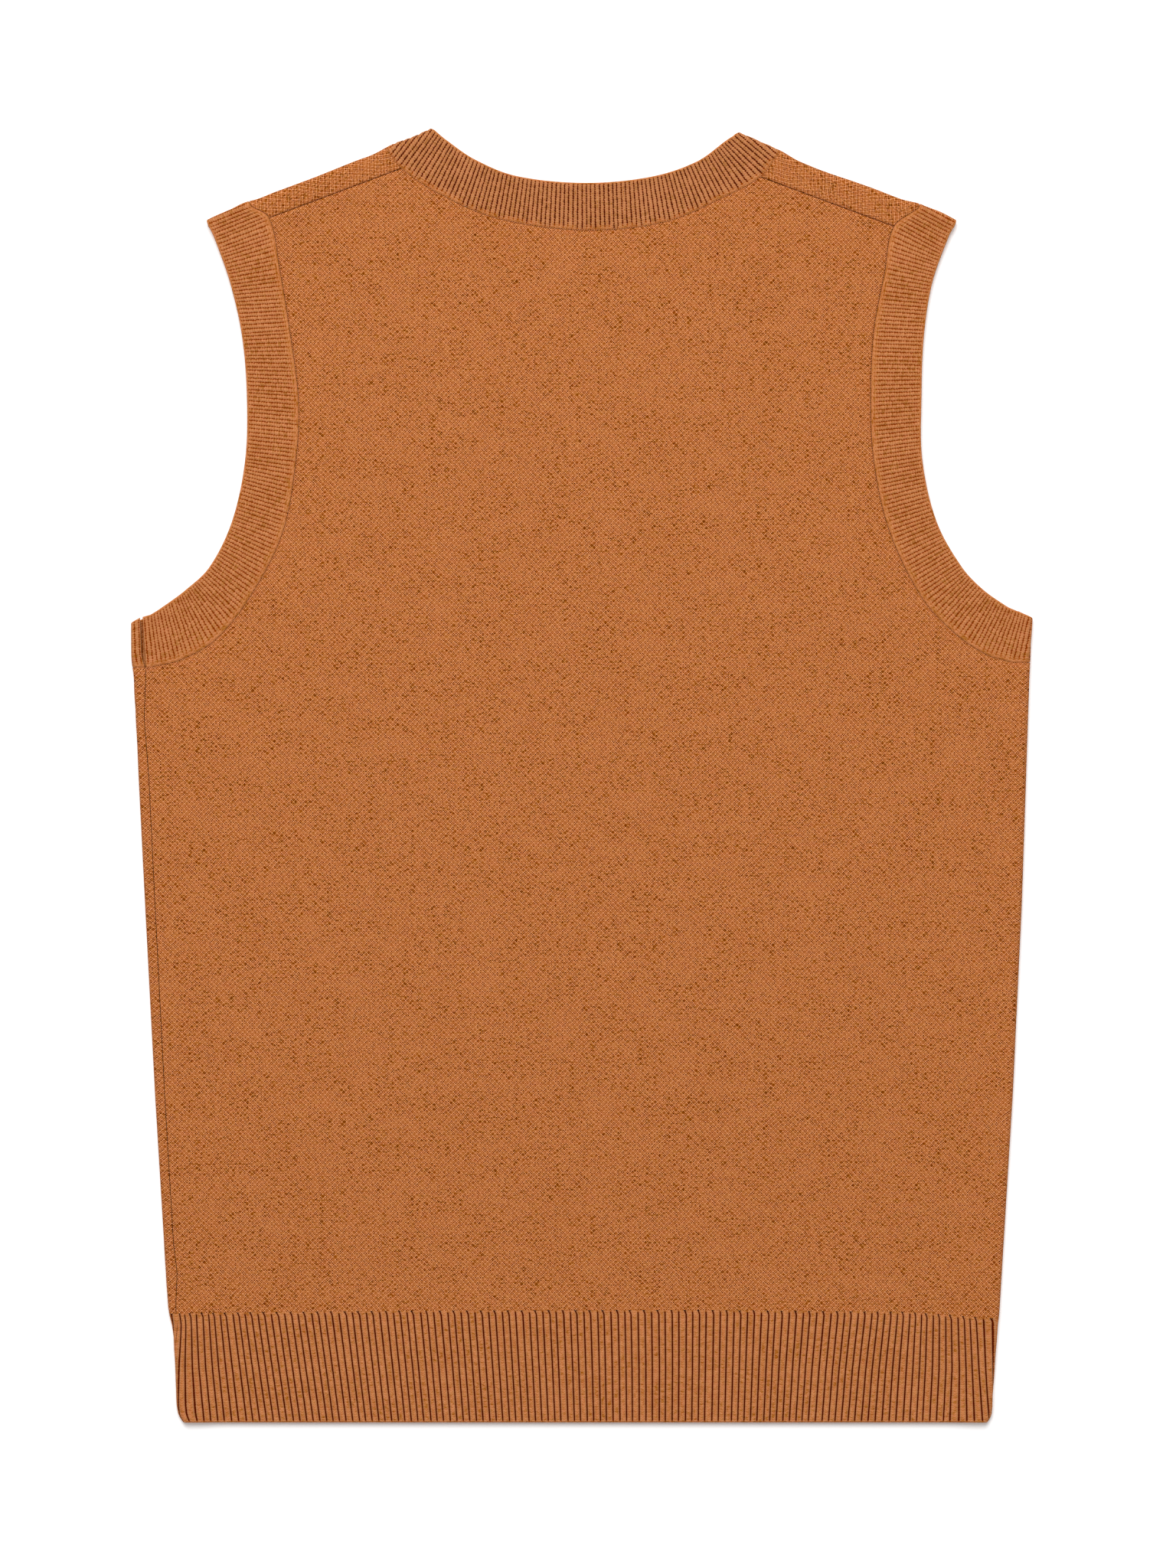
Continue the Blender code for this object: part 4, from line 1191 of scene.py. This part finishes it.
def linking(name, stretches, rows):
    """A chain along a seam; rows gives each row of legs its offset and its slant in degrees."""
    path = []
    for sections, home in stretches:
        seam = sections[:, :2]
        places, outward = fold(seam, home, LINK_WALL)
        towards_band = fold(beside(seam, 0.5, sections[:, 2:]), home, LINK_WALL)[0] - places
        path.append(np.hstack((places + outward * (LINK_WALL / 2 - LINK_DEPTH), towards_band, outward)))
    path = np.vstack(path)
    path[:, 2] = np.maximum(path[:, 2], LINK_LOWEST)
    way = ways_along(path[:, :3])
    count = round(way[-1] / STITCH)
    at = (np.arange(count) + 0.5) / count * way[-1]
    spot, ahead = points_at(at, way, path[:, :3]), points_at(at + LINK_STEP, way, path[:, :3])
    ahead = units(ahead - spot)
    across, up = units(points_at(at, way, path[:, 3:6])), units(points_at(at, way, path[:, 6:]))
    bpy.ops.object.select_all(action="DESELECT")
    bpy.ops.mesh.primitive_uv_sphere_add(segments=6, ring_count=4, radius=1.0)
    leg = bpy.context.object.data
    points = np.array([point.co for point in leg.vertices])[:, (2, 0, 1)] * LINK_LEG
    faces = sorted(list(face.vertices) for face in leg.polygons)
    bpy.data.objects.remove(bpy.context.object)
    dice = np.random.default_rng(len(rows))
    all_points, all_faces = [], []
    for offset, slant in rows:
        turn = np.radians(slant + dice.normal(0.0, LEG_LUCK["slant"], count))[:, None]
        axis = ahead * np.cos(turn) + across * np.sin(turn)
        beam = np.cross(up, axis)
        middle = spot + across * (offset + dice.normal(0.0, LEG_LUCK["offset"], count))[:, None]
        size = dice.uniform(*LEG_LUCK["size"], count)[:, None, None]
        legs = middle[:, None, :] + size * (
            points[None, :, :1] * axis[:, None, :] + points[None, :, 1:2] * beam[:, None, :]
            + points[None, :, 2:] * up[:, None, :]
        )
        first = len(points) * (np.arange(count) + len(all_points) * count)
        all_points.append(legs.reshape(-1, 3))
        all_faces += [[start + corner for corner in face] for start in first.tolist() for face in faces]
    all_points = np.vstack(all_points)
    mesh = bpy.data.meshes.new(name)
    mesh.from_pydata((all_points * MM).tolist(), [], all_faces)
    mesh.polygons.foreach_set("use_smooth", [True] * len(mesh.polygons))
    map_pattern(mesh, all_points[:, :2])
    mesh.materials.append(link_wool)
    chain = bpy.data.objects.new(name, mesh)
    bpy.context.collection.objects.link(chain)
    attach(chain, "root")


link_wool = wool("linking_yarn", link_yarn)
linking("neck_linking", neck_stretches, NECK_LEGS)
for side, name in ((LEFT, "armhole_linking_left"), (RIGHT, "armhole_linking_right")):
    linking(name, arm_seams[side], ARM_LEGS)


# Floor, lights and camera: a plain pale floor and soft light from above, with the camera
# straight over the vest.
FRAME_HEIGHT = 0.8718
CAMERA_HEIGHT = 3.2
CAMERA_X, CAMERA_Y = 0.0034, -0.0049
LAMP_PLACE = (-0.3, 1.9, 3.9)
LAMP_TURN = (math.radians(-25.5), math.radians(-4.5), 0.0)
LAMP_SIZE = 2.4
FLOOR_SIZE = 8.0
FLOOR_DROP = 0.0003
WHITE = (1.0, 1.0, 1.0, 1.0)
PAPER = {
    "Base Color": (0.95, 0.95, 0.95, 1.0),
    "Roughness": 0.9,
    "Emission Color": WHITE,
    "Emission Strength": 0.15,
}
bpy.ops.mesh.primitive_plane_add(size=FLOOR_SIZE, location=(0.0, 0.0, -FLOOR_DROP))
floor = bpy.context.object
floor.name = "floor"
paper = bpy.data.materials.new("pale_paper")
paper.use_nodes = True
fill(paper.node_tree, paper.node_tree.nodes["Principled BSDF"], PAPER)
floor.data.materials.append(paper)

world = bpy.data.worlds.new("studio")
bpy.context.scene.world = world
world.use_nodes = True
fill(world.node_tree, world.node_tree.nodes["Background"], {"Color": WHITE, "Strength": 0.35})
bpy.ops.object.light_add(type="AREA", location=LAMP_PLACE, rotation=LAMP_TURN)
lamp = bpy.context.object.data
lamp.shape = "RECTANGLE"
lamp.size, lamp.size_y = LAMP_SIZE, LAMP_SIZE
lamp.energy = 175.0

bpy.ops.object.camera_add(location=(CAMERA_X, CAMERA_Y, CAMERA_HEIGHT))
camera = bpy.context.object
camera.data.sensor_fit = "VERTICAL"
camera.data.sensor_height = 24.0
camera.data.lens = camera.data.sensor_height * CAMERA_HEIGHT / FRAME_HEIGHT
camera.data.clip_end = 50.0
bpy.context.scene.camera = camera
bpy.context.scene.view_settings.view_transform = "Standard"
